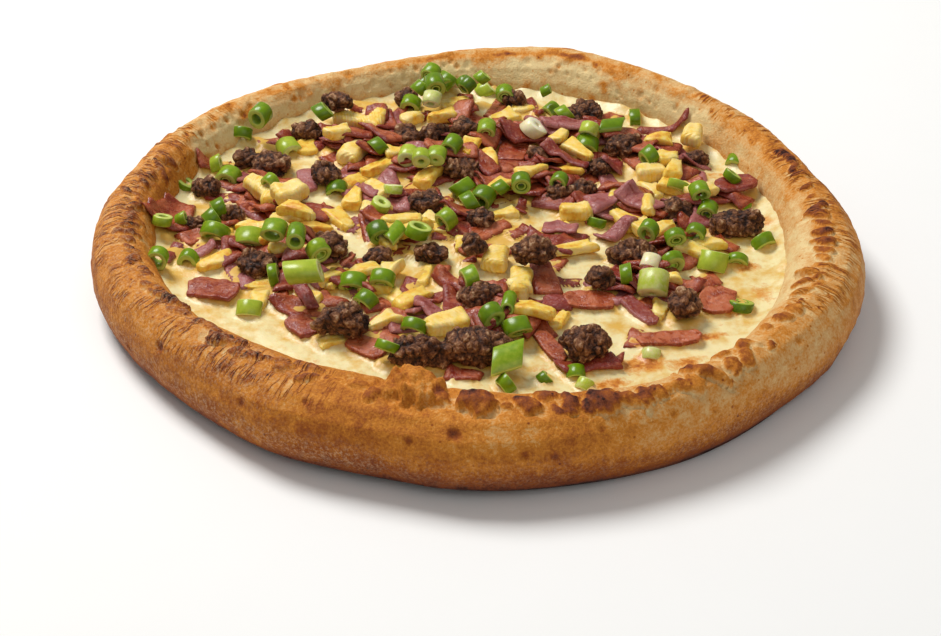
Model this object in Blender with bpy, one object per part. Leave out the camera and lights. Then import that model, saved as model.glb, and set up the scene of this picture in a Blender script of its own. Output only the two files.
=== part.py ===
"""A whole pan pizza: thick golden rim, melted cheese, beef crumbles, ham, pineapple and spring onion.

Everything is in metres with +Z up. The flat underside lies on z = 0, and the origin is under the
middle of the outline. Each topping as large as a berry is its own piece. Smaller ones, and the
spring onion, are one with the cheese that they are baked into.
"""
import math
import random

import bmesh
import bpy
import numpy as np
from mathutils import Matrix, Vector, noise

MM = 0.001
GAP = 0.3 * MM                     # free space between pieces that touch

# The rim, read anticlockwise from +X. Its outline is uneven, as dough stretched by hand is.
RIM_OUTER = (164, 159, 160, 159, 163, 171, 165, 159, 159, 163, 162, 162,
             165, 164, 160, 158, 161, 160, 164, 163, 163, 163, 166, 167)
RIM_TOE = (132, 134, 138, 138, 138, 138, 138, 133, 121, 122, 137, 134)
RIM_CREST = (33, 33, 35, 33, 31, 33, 34, 34, 34, 34, 34, 34)
RIM_STEPS = 150                    # places round the rim, two for each ridge
FLOOR = 13.0 * MM                  # thickness of the base under the cheese

# One section through the rim, from the floor's edge over the crest to the underside. Each point
# is the share of the way from the toe to the outside, and the share of the crest's height.
RIM_SECTION = ((0.00, 0.52), (0.05, 0.68), (0.17, 0.85), (0.33, 0.96), (0.54, 1.00), (0.77, 0.93),
               (0.92, 0.79), (0.99, 0.60), (1.00, 0.40), (0.92, 0.16), (0.76, 0.00))
RIDGE_HEIGHT = 1.5 * MM            # baked folds along the inner top edge of the rim
RIDGE_FROM = 0.10                  # share of the rim's width where the folds start and end
RIDGE_TO = 0.50
SMOOTH_FROM = math.radians(50)     # the back of the rim is smooth between these two directions
SMOOTH_TO = math.radians(125)
DOUGH_WAVE = 0.9 * MM              # how far the rim swells and sinks between the folds
DOUGH_WAVE_SIZE = 26 * MM
SWELL_MIDDLE = 0.45                # share of the rim's width that a swelling spreads away from
SWELL_FROM = 0.2                   # share of the crest's height where the swelling starts

CHEESE_TOP = 17.0 * MM
CHEESE_WAVE = 0.5 * MM
CHEESE_WAVE_SIZE = 18 * MM
CHEESE_EDGE = 1.2 * MM             # free space between the cheese and the rim, wide of the folds
CHEESE_STEPS = 66
CHEESE_RINGS = (0.25, 0.50, 0.75, 1.0)
CHEESE_BARE = 1.5 * MM             # the cheese's top is bare where nothing stands this far above it

# Places were read from in front, 33 degrees above the ground, at one level among the toppings.
# A piece whose middle lies higher or lower is moved along that line of sight.
EYE = Vector((-2.5, -745.0, 469.0)) * MM
READ_LEVEL = 24.0 * MM

# Cooked beef, one row a piece. Each lump is x, y, length along X and length along Y.
BEEF = (
    ((-66, 115, 16, 10),),
    ((-79, 87, 16, 13),),
    ((-93, 55, 17, 17), (-105, 62, 15, 12)),
    ((-120, 33, 13, 12),),
    ((-68, 48, 13, 14),),
    ((-65, 13, 17, 15),),
    ((-62, -13, 14, 11),),
    ((-92, -31, 19, 13),),
    ((-22, 20, 17, 12),),
    ((-32, 81, 14, 14), (-19, 83, 14, 12)),
    ((-5, 91, 14, 13),),
    ((-6, 51, 18, 14),),
    ((1, 6, 14, 12),),
    ((-1, -14, 11, 11),),
    ((-42, -26, 13, 12),),
    ((-19, -23, 14, 12),),
    ((1, -55, 19, 15),),
    ((-53, -73, 23, 14),),
    ((-22, -93, 26, 13), (1, -90, 30, 16)),
    ((24, -23, 19, 14),),
    ((51, -42, 13, 11),),
    ((43, -90, 20, 17),),
    ((66, -22, 20, 14),),
    ((84, -60, 14, 16),),
    ((86, 13, 19, 14),),
    ((113, 2, 24, 13),),
    ((30, 63, 15, 13),),
    ((18, 118, 11, 11),),
    ((53, 106, 16, 13), (44, 98, 15, 12)),
    ((68, 72, 18, 13),),
    ((100, 59, 12, 9),),
    ((36, 28, 15, 12), (47, 32, 14, 13)),
    ((-33, 119, 12, 12),),
)
BEEF_HEIGHT = 0.78                 # of the mean of its length and width
BEEF_KNOBS = 0.17                  # how far the knobs stand out, of the lump's radius
BEEF_KNOB_SIZE = 5.0 * MM
BEEF_FLAT = 0.62                   # a lump is cut flat below this share of its half height

# Ham slices: x, y, length, width, turn in degrees.
HAM = (
    (-108, -51, 23, 16, -18),
    (46, -60, 23, 13, 2),
    (66, -68, 24, 8, -58),
    (98, -60, 20, 16, 75),
    (76, -87, 28, 10, 4),
    (-70, -78, 17, 12, -55),
    (-43, -93, 19, 12, -40),
    (-34, -74, 16, 12, 80),
    (29, -93, 24, 8, -66),
    (17, 66, 22, 14, 80),
    (-100, 17, 21, 8, -56),
    (-76, 39, 21, 9, -78),
    (115, 29, 21, 13, 22),
)
HAM_THICK = 2.2 * MM
HAM_CELL = 4.5 * MM                # distance between the points of a slice
BIT_CELL = 7.5 * MM                # the same on the small bits
HAM_WAVE = 1.4 * MM
HAM_WAVE_SIZE = 9 * MM

# Pineapple chunks, one row a piece: x, y, length, width, turn in degrees.
PINEAPPLE = (
    ((-59, 96, 17, 9, -25), (-47, 94, 16, 10, 70)),
    ((-97, 33, 17, 10, -50), (-87, 23, 15, 12, 10)),
    ((-80, 9, 15, 13, 30),),
    ((-56, 65, 16, 12, 60),),
    ((-10, 110, 14, 12, 15),),
    ((-12, -77, 17, 13, 20),),
    ((8, -28, 14, 12, 80),),
    ((18, -47, 20, 10, 85),),
    ((63, 24, 16, 11, 70),),
    ((79, 46, 15, 11, 5),),
    ((100, 75, 14, 10, 75),),
    ((43, 11, 15, 10, 8),),
)
PINEAPPLE_HEIGHT = 8.0 * MM
PINEAPPLE_TAPER = 0.72             # width of a chunk's thin end, of its wide end
PINEAPPLE_ROUND = 1.6 * MM

# Small pieces that are one with the cheese: x, y, length, width, turn in degrees.
HAM_BITS = (
    (-52, 110, 16, 10, 5), (-37, 103, 14, 8, 70), (-95, 76, 14, 8, 15), (-118, 52, 16, 8, 20),
    (-55, 38, 12, 10, 70), (-39, 44, 12, 9, 80), (-53, 1, 13, 11, 40), (-29, 33, 12, 8, 60),
    (26, -42, 17, 10, 75), (62, 50, 13, 10, 80), (101, 42, 12, 7, 85), (88, -25, 14, 7, 80),
    (105, -14, 9, 7, 60), (-5, -111, 15, 10, -10), (50, -104, 15, 7, 10), (-28, -49, 14, 8, 75),
    (-16, -57, 13, 10, 30), (36, -1, 17, 9, -27), (60, -8, 18, 9, 36), (41, 65, 24, 7, -33),
    (28, 110, 19, 7, -70), (15, 100, 20, 6, 85), (-112, -17, 15, 7, 10), (-127, -22, 15, 7, 60),
    (20, 17, 14, 7, 80), (78, 31, 12, 8, 0), (-31, -20, 10, 8, 70), (-55, -28, 10, 9, 45),
)
PINEAPPLE_BITS = (
    (-65, 84, 10, 8, 20), (-109, -31, 14, 9, 30), (-79, -21, 16, 7, 0), (-90, -50, 11, 8, 10),
    (-59, -44, 11, 9, 70), (-22, -42, 12, 8, 75), (-57, -91, 12, 7, 20), (33, -76, 10, 7, 60),
    (74, -68, 10, 8, 70), (-44, 31, 13, 9, -50), (-22, 43, 13, 9, 60), (-3, 69, 13, 8, 80),
    (6, 60, 13, 8, -75), (25, 48, 13, 8, 30), (40, 48, 12, 8, 10), (75, 17, 13, 6, 85),
    (90, 50, 12, 8, 80), (84, 77, 11, 8, 0), (10, 8, 12, 8, 20), (40, -20, 16, 9, 20),
    (22, 107, 9, 8, 0), (39, 80, 10, 8, 60), (57, 85, 11, 7, 70), (-30, 98, 10, 7, 30),
)
BIT_SINK = 1.0 * MM                # how deep a small piece is baked into the cheese
BIT_HEIGHT = 5.5 * MM

# Spring onion, cut across: x, y, outer diameter, length, turn and tilt in degrees.
ONION = (
    (-73, 105, 11, 6, 20, 70), (-102, 101, 10, 7, 60, 80), (-86, 68, 11, 8, 120, 80),
    (-45, 71, 10, 6, 30, 75), (-109, 83, 10, 5, 80, 40), (-20, 133, 10, 8, 100, 80),
    (5, 128, 12, 7, 10, 60), (14, 124, 9, 6, 90, 80), (-5, 134, 8, 6, 120, 70),
    (36, 105, 10, 6, 40, 70), (64, 92, 11, 7, 110, 75), (75, 98, 11, 5, 0, 85),
    (79, 61, 10, 6, 30, 60), (118, 55, 9, 6, 70, 80), (115, 42, 9, 4, 20, 25),
    (90, 34, 10, 4, 60, 30), (99, 29, 9, 7, 100, 80), (101, 12, 9, 7, 75, 85),
    (-62, 31, 10, 7, 90, 80), (-111, 42, 11, 7, 70, 80), (-92, 37, 8, 5, 50, 70),
    (-42, 17, 11, 4, 10, 25), (-37, 31, 9, 4, 80, 40), (-6, 33, 12, 6, 140, 60),
    (3, 24, 11, 7, 60, 75), (-3, 20, 11, 6, 20, 70), (-13, 5, 10, 6, 40, 70),
    (-113, 14, 10, 6, 20, 70), (-112, -6, 13, 6, 70, 60), (-97, -11, 13, 9, 85, 75),
    (-87, -4, 11, 8, 80, 80), (-77, -9, 8, 9, 88, 85), (-67, -21, 10, 6, 120, 70),
    (-42, -6, 10, 7, 110, 75), (-72, -38, 12, 14, 5, 88), (-84, -41, 11, 4, 5, 85),
    (-51, -46, 12, 7, 85, 70), (-39, -44, 11, 6, 80, 65), (-45, -60, 10, 6, 50, 70),
    (-92, -66, 11, 7, 85, 60), (-121, -29, 9, 5, 80, 80), (-134, -27, 9, 5, 80, 80),
    (-25, -79, 11, 5, 70, 60), (-35, -93, 10, 4, 60, 50), (-25, -5, 11, 5, 30, 30),
    (-3, -42, 11, 6, 20, 70), (37, 38, 8, 5, 70, 80), (20, 37, 9, 6, 90, 80),
    (52, 2, 9, 4, 60, 30), (117, 17, 8, 4, 80, 40), (74, -5, 9, 5, 60, 70),
    (85, -10, 9, 5, 100, 80), (94, -7, 9, 5, 70, 80), (73, -47, 13, 10, 80, 60),
    (82, -31, 11, 4, 110, 60), (62, -40, 10, 5, 0, 70), (99, -30, 13, 9, 70, 50),
    (109, -30, 10, 4, 80, 70), (107, -64, 11, 4, 70, 40), (122, -15, 11, 5, 120, 50),
    (12, -101, 13, 4, 20, 15), (6, -71, 10, 6, 120, 70), (16, -79, 12, 7, 110, 70),
    (68, -99, 8, 5, 80, 60), (26, -115, 7, 4, 20, 60), (38, -111, 8, 6, 90, 75),
    (41, -119, 7, 5, 60, 60), (11, -119, 9, 5, 30, 50), (27, 88, 11, 6, 0, 50),
    (5, 88, 9, 8, 85, 80), (-31, 112, 10, 7, 80, 80), (51, 71, 11, 8, 80, 75),
)
ONION_SIDES = 6
ONION_WALL = 0.52                  # inner diameter, of the outer diameter
BEEF_BITS = ((-121, 2, 11, 8), (-107, 10, 11, 9), (56, 50, 12, 11))

CELL = 1.0 * MM                    # side of a cell of the height field
FIELD = 180                        # cells from the middle to each side of the field
NUDGES = (0.0, 2.0, 4.0)           # how far a small piece is moved to stay clear, in millimetres
NUDGE_WAYS = 8
SETTLE_ROUNDS = 4
THIN = 1e-12                       # a triangle with less area than this, seen from above, is upright
MERGE = 0.001 * MM                 # points closer than this are one
SPECK = 0.02 * MM                  # size of the specks that a union leaves
SEED = 7


def remove_all_objects():
    for old in list(bpy.data.objects):
        bpy.data.objects.remove(old, do_unlink=True)


def principled(name, colour, roughness):
    """A plain finish: colour is a linear RGB triple."""
    material = bpy.data.materials.new(name)
    material.use_nodes = True
    shader = material.node_tree.nodes["Principled BSDF"]
    shader.inputs["Base Color"].default_value = (*colour, 1.0)
    shader.inputs["Roughness"].default_value = roughness
    shader.inputs["Metallic"].default_value = 0.0
    return material


def crust_material():
    return principled("baked_dough", (0.46, 0.24, 0.09), 0.75)


def cheese_material():
    return principled("melted_cheese", (0.85, 0.76, 0.46), 0.45)


def beef_material():
    return principled("browned_beef", (0.07, 0.04, 0.03), 0.6)


def ham_material():
    return principled("cooked_ham", (0.40, 0.10, 0.07), 0.4)


def pineapple_material():
    return principled("baked_pineapple", (0.76, 0.52, 0.10), 0.4)


def object_from(bm, name, material):
    """Turn a bmesh into a named object at the world's origin."""
    bmesh.ops.recalc_face_normals(bm, faces=bm.faces)
    mesh = bpy.data.meshes.new(name)
    bm.to_mesh(mesh)
    bm.free()
    mesh.materials.append(material)
    mesh.shade_smooth()
    piece = bpy.data.objects.new(name, mesh)
    bpy.context.scene.collection.objects.link(piece)
    return piece


def round_value(table, angle):
    """Read a table of values in millimetres spaced evenly round the circle, as a smooth curve."""
    count = len(table)
    place = angle / math.tau * count
    first = math.floor(place)
    part = place - first
    before, start, end, after = (table[(first + k) % count] for k in (-1, 0, 1, 2))
    slope_in = (end - before) / 2
    slope_out = (after - start) / 2
    square, cube = part * part, part ** 3
    value = (start * (2 * cube - 3 * square + 1) + slope_in * (cube - 2 * square + part)
             + end * (3 * square - 2 * cube) + slope_out * (cube - square))
    return value * MM


def fold_strength(angle):
    """Full folds at the front and sides, none along the smooth back."""
    blend = math.radians(15)
    into = min(max((angle - SMOOTH_FROM) / blend, 0), 1)
    out_of = min(max((angle - SMOOTH_TO) / blend, 0), 1)
    return 1 - into * (1 - out_of)


def turned(section, steps):
    """Spin a section, given as radius and height, into a closed form round the Z axis."""
    bm = bmesh.new()
    points = [bm.verts.new((radius, 0, height)) for radius, height in section]
    edges = [bm.edges.new(pair) for pair in zip(points, points[1:])]
    bmesh.ops.spin(bm, geom=points + edges, cent=(0, 0, 0), axis=(0, 0, 1), angle=math.tau,
                   steps=steps, use_merge=True, use_duplicate=False)
    bmesh.ops.remove_doubles(bm, verts=bm.verts, dist=MERGE)
    return bm


def make_crust(rng):
    """Base and rim in one: a unit ring is turned, then drawn to the rim's uneven radii."""
    section = [(0.0, 0.0), (1.0, 0.0)]
    section += [(2.0 + share, height) for share, height in RIM_SECTION]
    section.append((0.0, -1.0))
    bm = turned(section, RIM_STEPS)
    step = math.tau / RIM_STEPS
    fold = [(1 if k % 2 else -1) * rng.uniform(0.6, 1.4) for k in range(RIM_STEPS)]
    shift = [rng.uniform(-0.22, 0.22) * step for _ in range(RIM_STEPS)]
    for vertex in bm.verts:
        reach = math.hypot(vertex.co.x, vertex.co.y)
        angle = math.atan2(vertex.co.y, vertex.co.x) % math.tau
        index = round(angle / step) % RIM_STEPS
        angle += shift[index]
        toe = round_value(RIM_TOE, angle)
        outer = round_value(RIM_OUTER, angle)
        crest = round_value(RIM_CREST, angle)
        if reach < 0.5:
            vertex.co = (0, 0, 0 if vertex.co.z < -0.5 else FLOOR)
            continue
        if reach < 1.5:
            vertex.co = (toe * math.cos(angle), toe * math.sin(angle), FLOOR)
            continue
        share = reach - 2.0
        radius = toe + share * (outer - toe)
        height = vertex.co.z * crest
        if 0 < share and vertex.co.z > SWELL_FROM:
            place = Vector((radius * math.cos(angle), radius * math.sin(angle), height))
            swell = DOUGH_WAVE * noise.noise(place / DOUGH_WAVE_SIZE)
            if RIDGE_FROM < share < RIDGE_TO:
                swell += RIDGE_HEIGHT * fold[index] * fold_strength(angle)
            radius += swell * (share - SWELL_MIDDLE)
            height += swell * vertex.co.z
        vertex.co = (radius * math.cos(angle), radius * math.sin(angle), height)
    return object_from(bm, "crust", crust_material())


def make_cheese():
    """The melted layer that fills the rim, with a low uneven top."""
    section = [(0.0, 1.0)] + [(share, 1.0) for share in CHEESE_RINGS] + [(1.0, 0.0), (0.0, 0.0)]
    bm = turned(section, CHEESE_STEPS)
    for vertex in bm.verts:
        share = math.hypot(vertex.co.x, vertex.co.y)
        angle = math.atan2(vertex.co.y, vertex.co.x) % math.tau
        radius = share * (round_value(RIM_TOE, angle) - CHEESE_EDGE)
        place = Vector((radius * math.cos(angle), radius * math.sin(angle), 0))
        if vertex.co.z > 0.5:
            place.z = CHEESE_TOP + CHEESE_WAVE * noise.noise(place / CHEESE_WAVE_SIZE)
        else:
            place.z = FLOOR + GAP
        vertex.co = place
    return object_from(bm, "cheese", cheese_material())


def lump(length, width, rng, flat=True):
    """A knobby crumble with its middle at the origin, cut flat a little below."""
    bm = bmesh.new()
    bmesh.ops.create_icosphere(bm, subdivisions=2, radius=1.0)
    half = Vector((length / 2, width / 2, BEEF_HEIGHT * (length + width) / 4))
    offset = Vector((rng.uniform(-50, 50), rng.uniform(-50, 50), rng.uniform(-50, 50)))
    for vertex in bm.verts:
        place = Vector(a * b for a, b in zip(vertex.co, half))
        knob = noise.noise(place / BEEF_KNOB_SIZE + offset)
        place *= 1 + BEEF_KNOBS * 2 * knob
        if flat:
            place.z = max(place.z, -BEEF_FLAT * half.z)
        vertex.co = place
    return bm


def chunk(length, width, height, rng):
    """A pineapple chunk: a block that narrows towards one end, with rounded edges."""
    bm = bmesh.new()
    bmesh.ops.create_cube(bm, size=1.0)
    thin_end = rng.choice((-1, 1))
    for vertex in bm.verts:
        taper = PINEAPPLE_TAPER if vertex.co.x * thin_end > 0 else 1.0
        lean = rng.uniform(-0.08, 0.08)
        vertex.co = ((vertex.co.x + lean) * length, vertex.co.y * width * taper,
                     vertex.co.z * height * rng.uniform(0.85, 1.05))
    bmesh.ops.bevel(bm, geom=bm.edges, offset=min(PINEAPPLE_ROUND, height * 0.3), segments=1,
                    profile=0.5, affect="EDGES", material=-1)
    return bm


def slab(length, width, thickness, cell, rng):
    """A wavy slice made on a grid of square cells, both faces split into triangles alike."""
    columns = max(2, round(length / cell))
    rows = max(2, round(width / cell))
    bm = bmesh.new()
    bmesh.ops.create_grid(bm, x_segments=columns, y_segments=rows, size=0.5)
    offset = Vector((rng.uniform(-50, 50), rng.uniform(-50, 50), 0))
    for vertex in bm.verts:
        corner = 4 * vertex.co.x * vertex.co.y
        trim = 1 - 0.18 * abs(corner) + rng.uniform(-0.06, 0.06)
        place = Vector((vertex.co.x * length * trim, vertex.co.y * width * trim, 0))
        place.z = HAM_WAVE * noise.noise(place / HAM_WAVE_SIZE + offset)
        vertex.co = place
    bmesh.ops.triangulate(bm, faces=bm.faces)
    raised = bmesh.ops.extrude_face_region(bm, geom=bm.faces[:])
    moved = [item for item in raised["geom"] if isinstance(item, bmesh.types.BMVert)]
    bmesh.ops.translate(bm, verts=moved, vec=(0, 0, thickness))
    return bm


def onion_ring(diameter, length, turn, tilt):
    """A slice of spring onion: a short tube, turned and tilted about its middle."""
    bm = bmesh.new()
    outer = diameter / 2
    inner = outer * ONION_WALL
    section = ((inner, -length / 2), (outer, -length / 2), (outer, length / 2), (inner, length / 2))
    points = [bm.verts.new((radius, 0, height)) for radius, height in section]
    edges = [bm.edges.new(pair) for pair in zip(points, points[1:] + points[:1])]
    bmesh.ops.spin(bm, geom=points + edges, cent=(0, 0, 0), axis=(0, 0, 1), angle=math.tau,
                   steps=ONION_SIDES, use_merge=True, use_duplicate=False)
    bmesh.ops.remove_doubles(bm, verts=bm.verts, dist=MERGE)
    turning = Matrix.Rotation(math.radians(turn), 3, "Z") @ Matrix.Rotation(math.radians(tilt), 3, "Y")
    bmesh.ops.rotate(bm, verts=bm.verts, cent=(0, 0, 0), matrix=turning)
    return bm


def turn_about_z(bm, degrees):
    bmesh.ops.rotate(bm, verts=bm.verts, cent=(0, 0, 0),
                     matrix=Matrix.Rotation(math.radians(degrees), 3, "Z"))


def height_sheets(triangles):
    """The lowest and highest level of some triangles in each cell of the field."""
    low = np.full((2 * FIELD, 2 * FIELD), np.inf)
    high = np.full((2 * FIELD, 2 * FIELD), -np.inf)
    for a, b, c in triangles:
        first_x = math.floor(min(a.x, b.x, c.x) / CELL) + FIELD - 1
        last_x = math.ceil(max(a.x, b.x, c.x) / CELL) + FIELD + 1
        first_y = math.floor(min(a.y, b.y, c.y) / CELL) + FIELD - 1
        last_y = math.ceil(max(a.y, b.y, c.y) / CELL) + FIELD + 1
        area = (b.y - c.y) * (a.x - c.x) + (c.x - b.x) * (a.y - c.y)
        if abs(area) < THIN:
            continue
        xs = (np.arange(first_x, last_x) + 0.5 - FIELD)[None, :] * CELL
        ys = (np.arange(first_y, last_y) + 0.5 - FIELD)[:, None] * CELL
        share_a = ((b.y - c.y) * (xs - c.x) + (c.x - b.x) * (ys - c.y)) / area
        share_b = ((c.y - a.y) * (xs - c.x) + (a.x - c.x) * (ys - c.y)) / area
        share_c = 1 - share_a - share_b
        # A cell also counts when its middle lies just outside the triangle.
        slack_a = CELL * math.hypot(b.y - c.y, c.x - b.x) / abs(area)
        slack_b = CELL * math.hypot(c.y - a.y, a.x - c.x) / abs(area)
        slack_c = CELL * math.hypot(a.y - b.y, b.x - a.x) / abs(area)
        inside = (share_a > -slack_a) & (share_b > -slack_b) & (share_c > -slack_c)
        levels = share_a * a.z + share_b * b.z + share_c * c.z
        levels = np.clip(levels, min(a.z, b.z, c.z), max(a.z, b.z, c.z))
        window = (slice(first_y, last_y), slice(first_x, last_x))
        low[window] = np.where(inside, np.minimum(low[window], levels), low[window])
        high[window] = np.where(inside, np.maximum(high[window], levels), high[window])
    return low, high


def triangles_of(bm):
    """The mesh as triples of points, its larger faces split."""
    copy = bm.copy()
    bmesh.ops.triangulate(copy, faces=copy.faces)
    found = [[vertex.co.copy() for vertex in face.verts] for face in copy.faces]
    copy.free()
    return found


def object_triangles(piece):
    bm = bmesh.new()
    bm.from_mesh(piece.data)
    found = triangles_of(bm)
    bm.free()
    return found


def along_sight(x, y, level):
    """Follow the line of sight through a place at READ_LEVEL to another level."""
    share = (EYE.z - level) / (EYE.z - READ_LEVEL)
    return EYE.x + (x - EYE.x) * share, EYE.y + (y - EYE.y) * share


class Pile:
    """What lies on the pizza so far, as the height of its top over the plan."""

    def __init__(self, crust, cheese):
        high = height_sheets(object_triangles(crust) + object_triangles(cheese))[1]
        self.top = np.where(np.isfinite(high), high, 0.0)
        self.taken = np.zeros(self.top.shape, dtype=bool)

    def settle(self, bm, x, y, sink=None):
        """Move a piece along the line of sight until it rests on what is below it.

        With a sink the piece is baked that deep into the cheese instead. The result says
        whether the piece then stays clear of everything else.
        """
        level = READ_LEVEL
        here = Vector((0, 0, 0))
        for _ in range(SETTLE_ROUNDS):
            place = Vector((*along_sight(x * MM, y * MM, level), here.z))
            bmesh.ops.translate(bm, verts=bm.verts, vec=place - here)
            here = place
            low, high = height_sheets(triangles_of(bm))
            under = np.isfinite(low)
            if sink is None:
                rise = (self.top - low)[under].max() + GAP
            else:
                rise = np.median(self.top[under]) - sink - low[under].min()
            bmesh.ops.translate(bm, verts=bm.verts, vec=(0, 0, rise))
            here = here + Vector((0, 0, rise))
            level = (low[under].min() + high[under].max()) / 2 + rise
        bare = (self.top[under] < CHEESE_TOP + CHEESE_BARE).all()
        return bare and not self.taken[under].any()

    def add(self, bm):
        """Count a placed piece as part of the pile."""
        high = height_sheets(triangles_of(bm))[1]
        covered = np.isfinite(high)
        self.top[covered] = np.maximum(self.top[covered], high[covered])
        self.taken |= covered


def fused(target, parts):
    """Join loose parts to the target with one Boolean union, and remove the parts."""
    group = bpy.data.collections.new(target.name + "_parts")
    bpy.context.scene.collection.children.link(group)
    for part in parts:
        bpy.context.scene.collection.objects.unlink(part)
        group.objects.link(part)
    union = target.modifiers.new("union", "BOOLEAN")
    union.operation = "UNION"
    union.operand_type = "COLLECTION"
    union.collection = group
    union.solver = "EXACT"
    depsgraph = bpy.context.evaluated_depsgraph_get()
    joined = bpy.data.meshes.new_from_object(target.evaluated_get(depsgraph))
    target.modifiers.clear()
    target.data = joined
    for part in parts:
        bpy.data.objects.remove(part, do_unlink=True)
    bpy.data.collections.remove(group)
    clean_mesh(joined)


def clean_mesh(mesh):
    """Merge the specks that a union leaves, and split all faces into triangles."""
    bm = bmesh.new()
    bm.from_mesh(mesh)
    bmesh.ops.triangulate(bm, faces=bm.faces)
    bmesh.ops.remove_doubles(bm, verts=bm.verts, dist=SPECK)
    bmesh.ops.dissolve_degenerate(bm, edges=bm.edges, dist=SPECK / 2)
    bmesh.ops.triangulate(bm, faces=bm.faces)
    bm.to_mesh(mesh)
    bm.free()


def placed_group(forms, pile):
    """Settle forms that make one piece as a single body, and return them joined in one bmesh."""
    whole = bmesh.new()
    middle_x = sum(x for _, x, _ in forms) / len(forms)
    middle_y = sum(y for _, _, y in forms) / len(forms)
    for form, x, y in forms:
        bmesh.ops.translate(form, verts=form.verts, vec=((x - middle_x) * MM, (y - middle_y) * MM, 0))
        scratch = bpy.data.meshes.new("scratch")
        form.to_mesh(scratch)
        form.free()
        whole.from_mesh(scratch)
        bpy.data.meshes.remove(scratch)
    pile.settle(whole, middle_x, middle_y)
    pile.add(whole)
    return whole


def one_body(bm, name, material):
    """Make an object of a bmesh, with its overlapping lumps joined into one closed body."""
    first = object_from(bm, name, material)
    loose = separate_shells(first, material)
    if loose:
        fused(first, loose)
    return first


def separate_shells(piece, material):
    """Move every shell but the first out of an object's mesh into objects of their own."""
    bm = bmesh.new()
    bm.from_mesh(piece.data)
    shells = []
    unseen = set(bm.verts)
    while unseen:
        seed = next(vertex for vertex in bm.verts if vertex in unseen)
        shell = {seed}
        front = [seed]
        while front:
            vertex = front.pop()
            for edge in vertex.link_edges:
                other = edge.other_vert(vertex)
                if other not in shell:
                    shell.add(other)
                    front.append(other)
        unseen -= shell
        shells.append(shell)
    extra = []
    for shell in shells[1:]:
        part = bm.copy()
        keep = {vertex.index for vertex in shell}
        bmesh.ops.delete(part, geom=[v for v in part.verts if v.index not in keep], context="VERTS")
        extra.append(object_from(part, piece.name + "_lump", material))
    gone = [vertex for shell in shells[1:] for vertex in shell]
    bmesh.ops.delete(bm, geom=gone, context="VERTS")
    bm.to_mesh(piece.data)
    bm.free()
    return extra


def make_ham(pile, rng):
    material = ham_material()
    for number, (x, y, length, width, turn) in enumerate(HAM, start=1):
        slice_form = slab(length * MM, width * MM, HAM_THICK, HAM_CELL, rng)
        turn_about_z(slice_form, turn)
        whole = placed_group([(slice_form, x, y)], pile)
        object_from(whole, f"ham_{number:02d}", material)


def make_pineapple(pile, rng):
    material = pineapple_material()
    for number, rows in enumerate(PINEAPPLE, start=1):
        forms = []
        for x, y, length, width, turn in rows:
            form = chunk(length * MM, width * MM, PINEAPPLE_HEIGHT, rng)
            turn_about_z(form, turn)
            forms.append((form, x, y))
        one_body(placed_group(forms, pile), f"pineapple_{number:02d}", material)


def make_beef(pile, rng):
    material = beef_material()
    for number, rows in enumerate(BEEF, start=1):
        forms = [(lump(length * MM, width * MM, rng), x, y) for x, y, length, width in rows]
        one_body(placed_group(forms, pile), f"beef_{number:02d}", material)


def small_form(kind, row, rng):
    """Build one of the small pieces about its middle."""
    if kind == "onion":
        diameter, length, turn, tilt = row
        return onion_ring(diameter * MM, length * MM, turn, tilt)
    length = row[0] * MM
    width = row[1] * MM
    if kind == "beef":
        return lump(length, width, rng, flat=False)
    if kind == "pineapple":
        form = chunk(length, width, BIT_HEIGHT, rng)
    else:
        form = slab(length, width, 2 * BIT_SINK, BIT_CELL, rng)
    turn_about_z(form, row[2])
    return form


def baked_in(kind, x, y, row, pile, rng):
    """A small piece settled in the cheese, moved a little to stay clear, or None where it can't."""
    for reach in NUDGES:
        for k in range(NUDGE_WAYS if reach else 1):
            form = small_form(kind, row, rng)
            way = k * math.tau / NUDGE_WAYS
            if pile.settle(form, x + reach * math.cos(way), y + reach * math.sin(way), sink=BIT_SINK):
                return form
            form.free()
    return None


def make_small_pieces(cheese, pile, rng):
    """Bake the small pieces into the cheese, the kinds that show most first."""
    material = cheese.data.materials[0]
    parts = []
    kinds = (("onion", ONION), ("beef", BEEF_BITS), ("pineapple", PINEAPPLE_BITS), ("ham", HAM_BITS))
    for kind, rows in kinds:
        for x, y, *row in rows:
            form = baked_in(kind, x, y, row, pile, rng)
            if form is not None:
                pile.add(form)
                parts.append(object_from(form, f"small_{len(parts):03d}", material))
    fused(cheese, parts)


def centre_outline():
    """Move every piece so that the middle of the outline is at x = 0, y = 0."""
    points = [vertex.co for vertex in bpy.data.objects["crust"].data.vertices]
    middle_x = (min(p.x for p in points) + max(p.x for p in points)) / 2
    middle_y = (min(p.y for p in points) + max(p.y for p in points)) / 2
    for piece in bpy.data.objects:
        piece.data.transform(Matrix.Translation((-middle_x, -middle_y, 0)))


def main():
    remove_all_objects()
    rng = random.Random(SEED)
    crust = make_crust(rng)
    cheese = make_cheese()
    pile = Pile(crust, cheese)
    make_ham(pile, rng)
    make_pineapple(pile, rng)
    make_beef(pile, rng)
    make_small_pieces(cheese, pile, rng)
    centre_outline()


main()
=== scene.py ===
"""Pan pizza: baked crust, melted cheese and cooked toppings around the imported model."""
import math
import random

import bmesh
import bpy
import numpy as np
from bpy.props import FloatProperty, FloatVectorProperty, IntProperty, PointerProperty
from bpy.types import Operator, Panel, PropertyGroup
from mathutils import Matrix, Vector, noise
from mathutils.bvhtree import BVHTree


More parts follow.
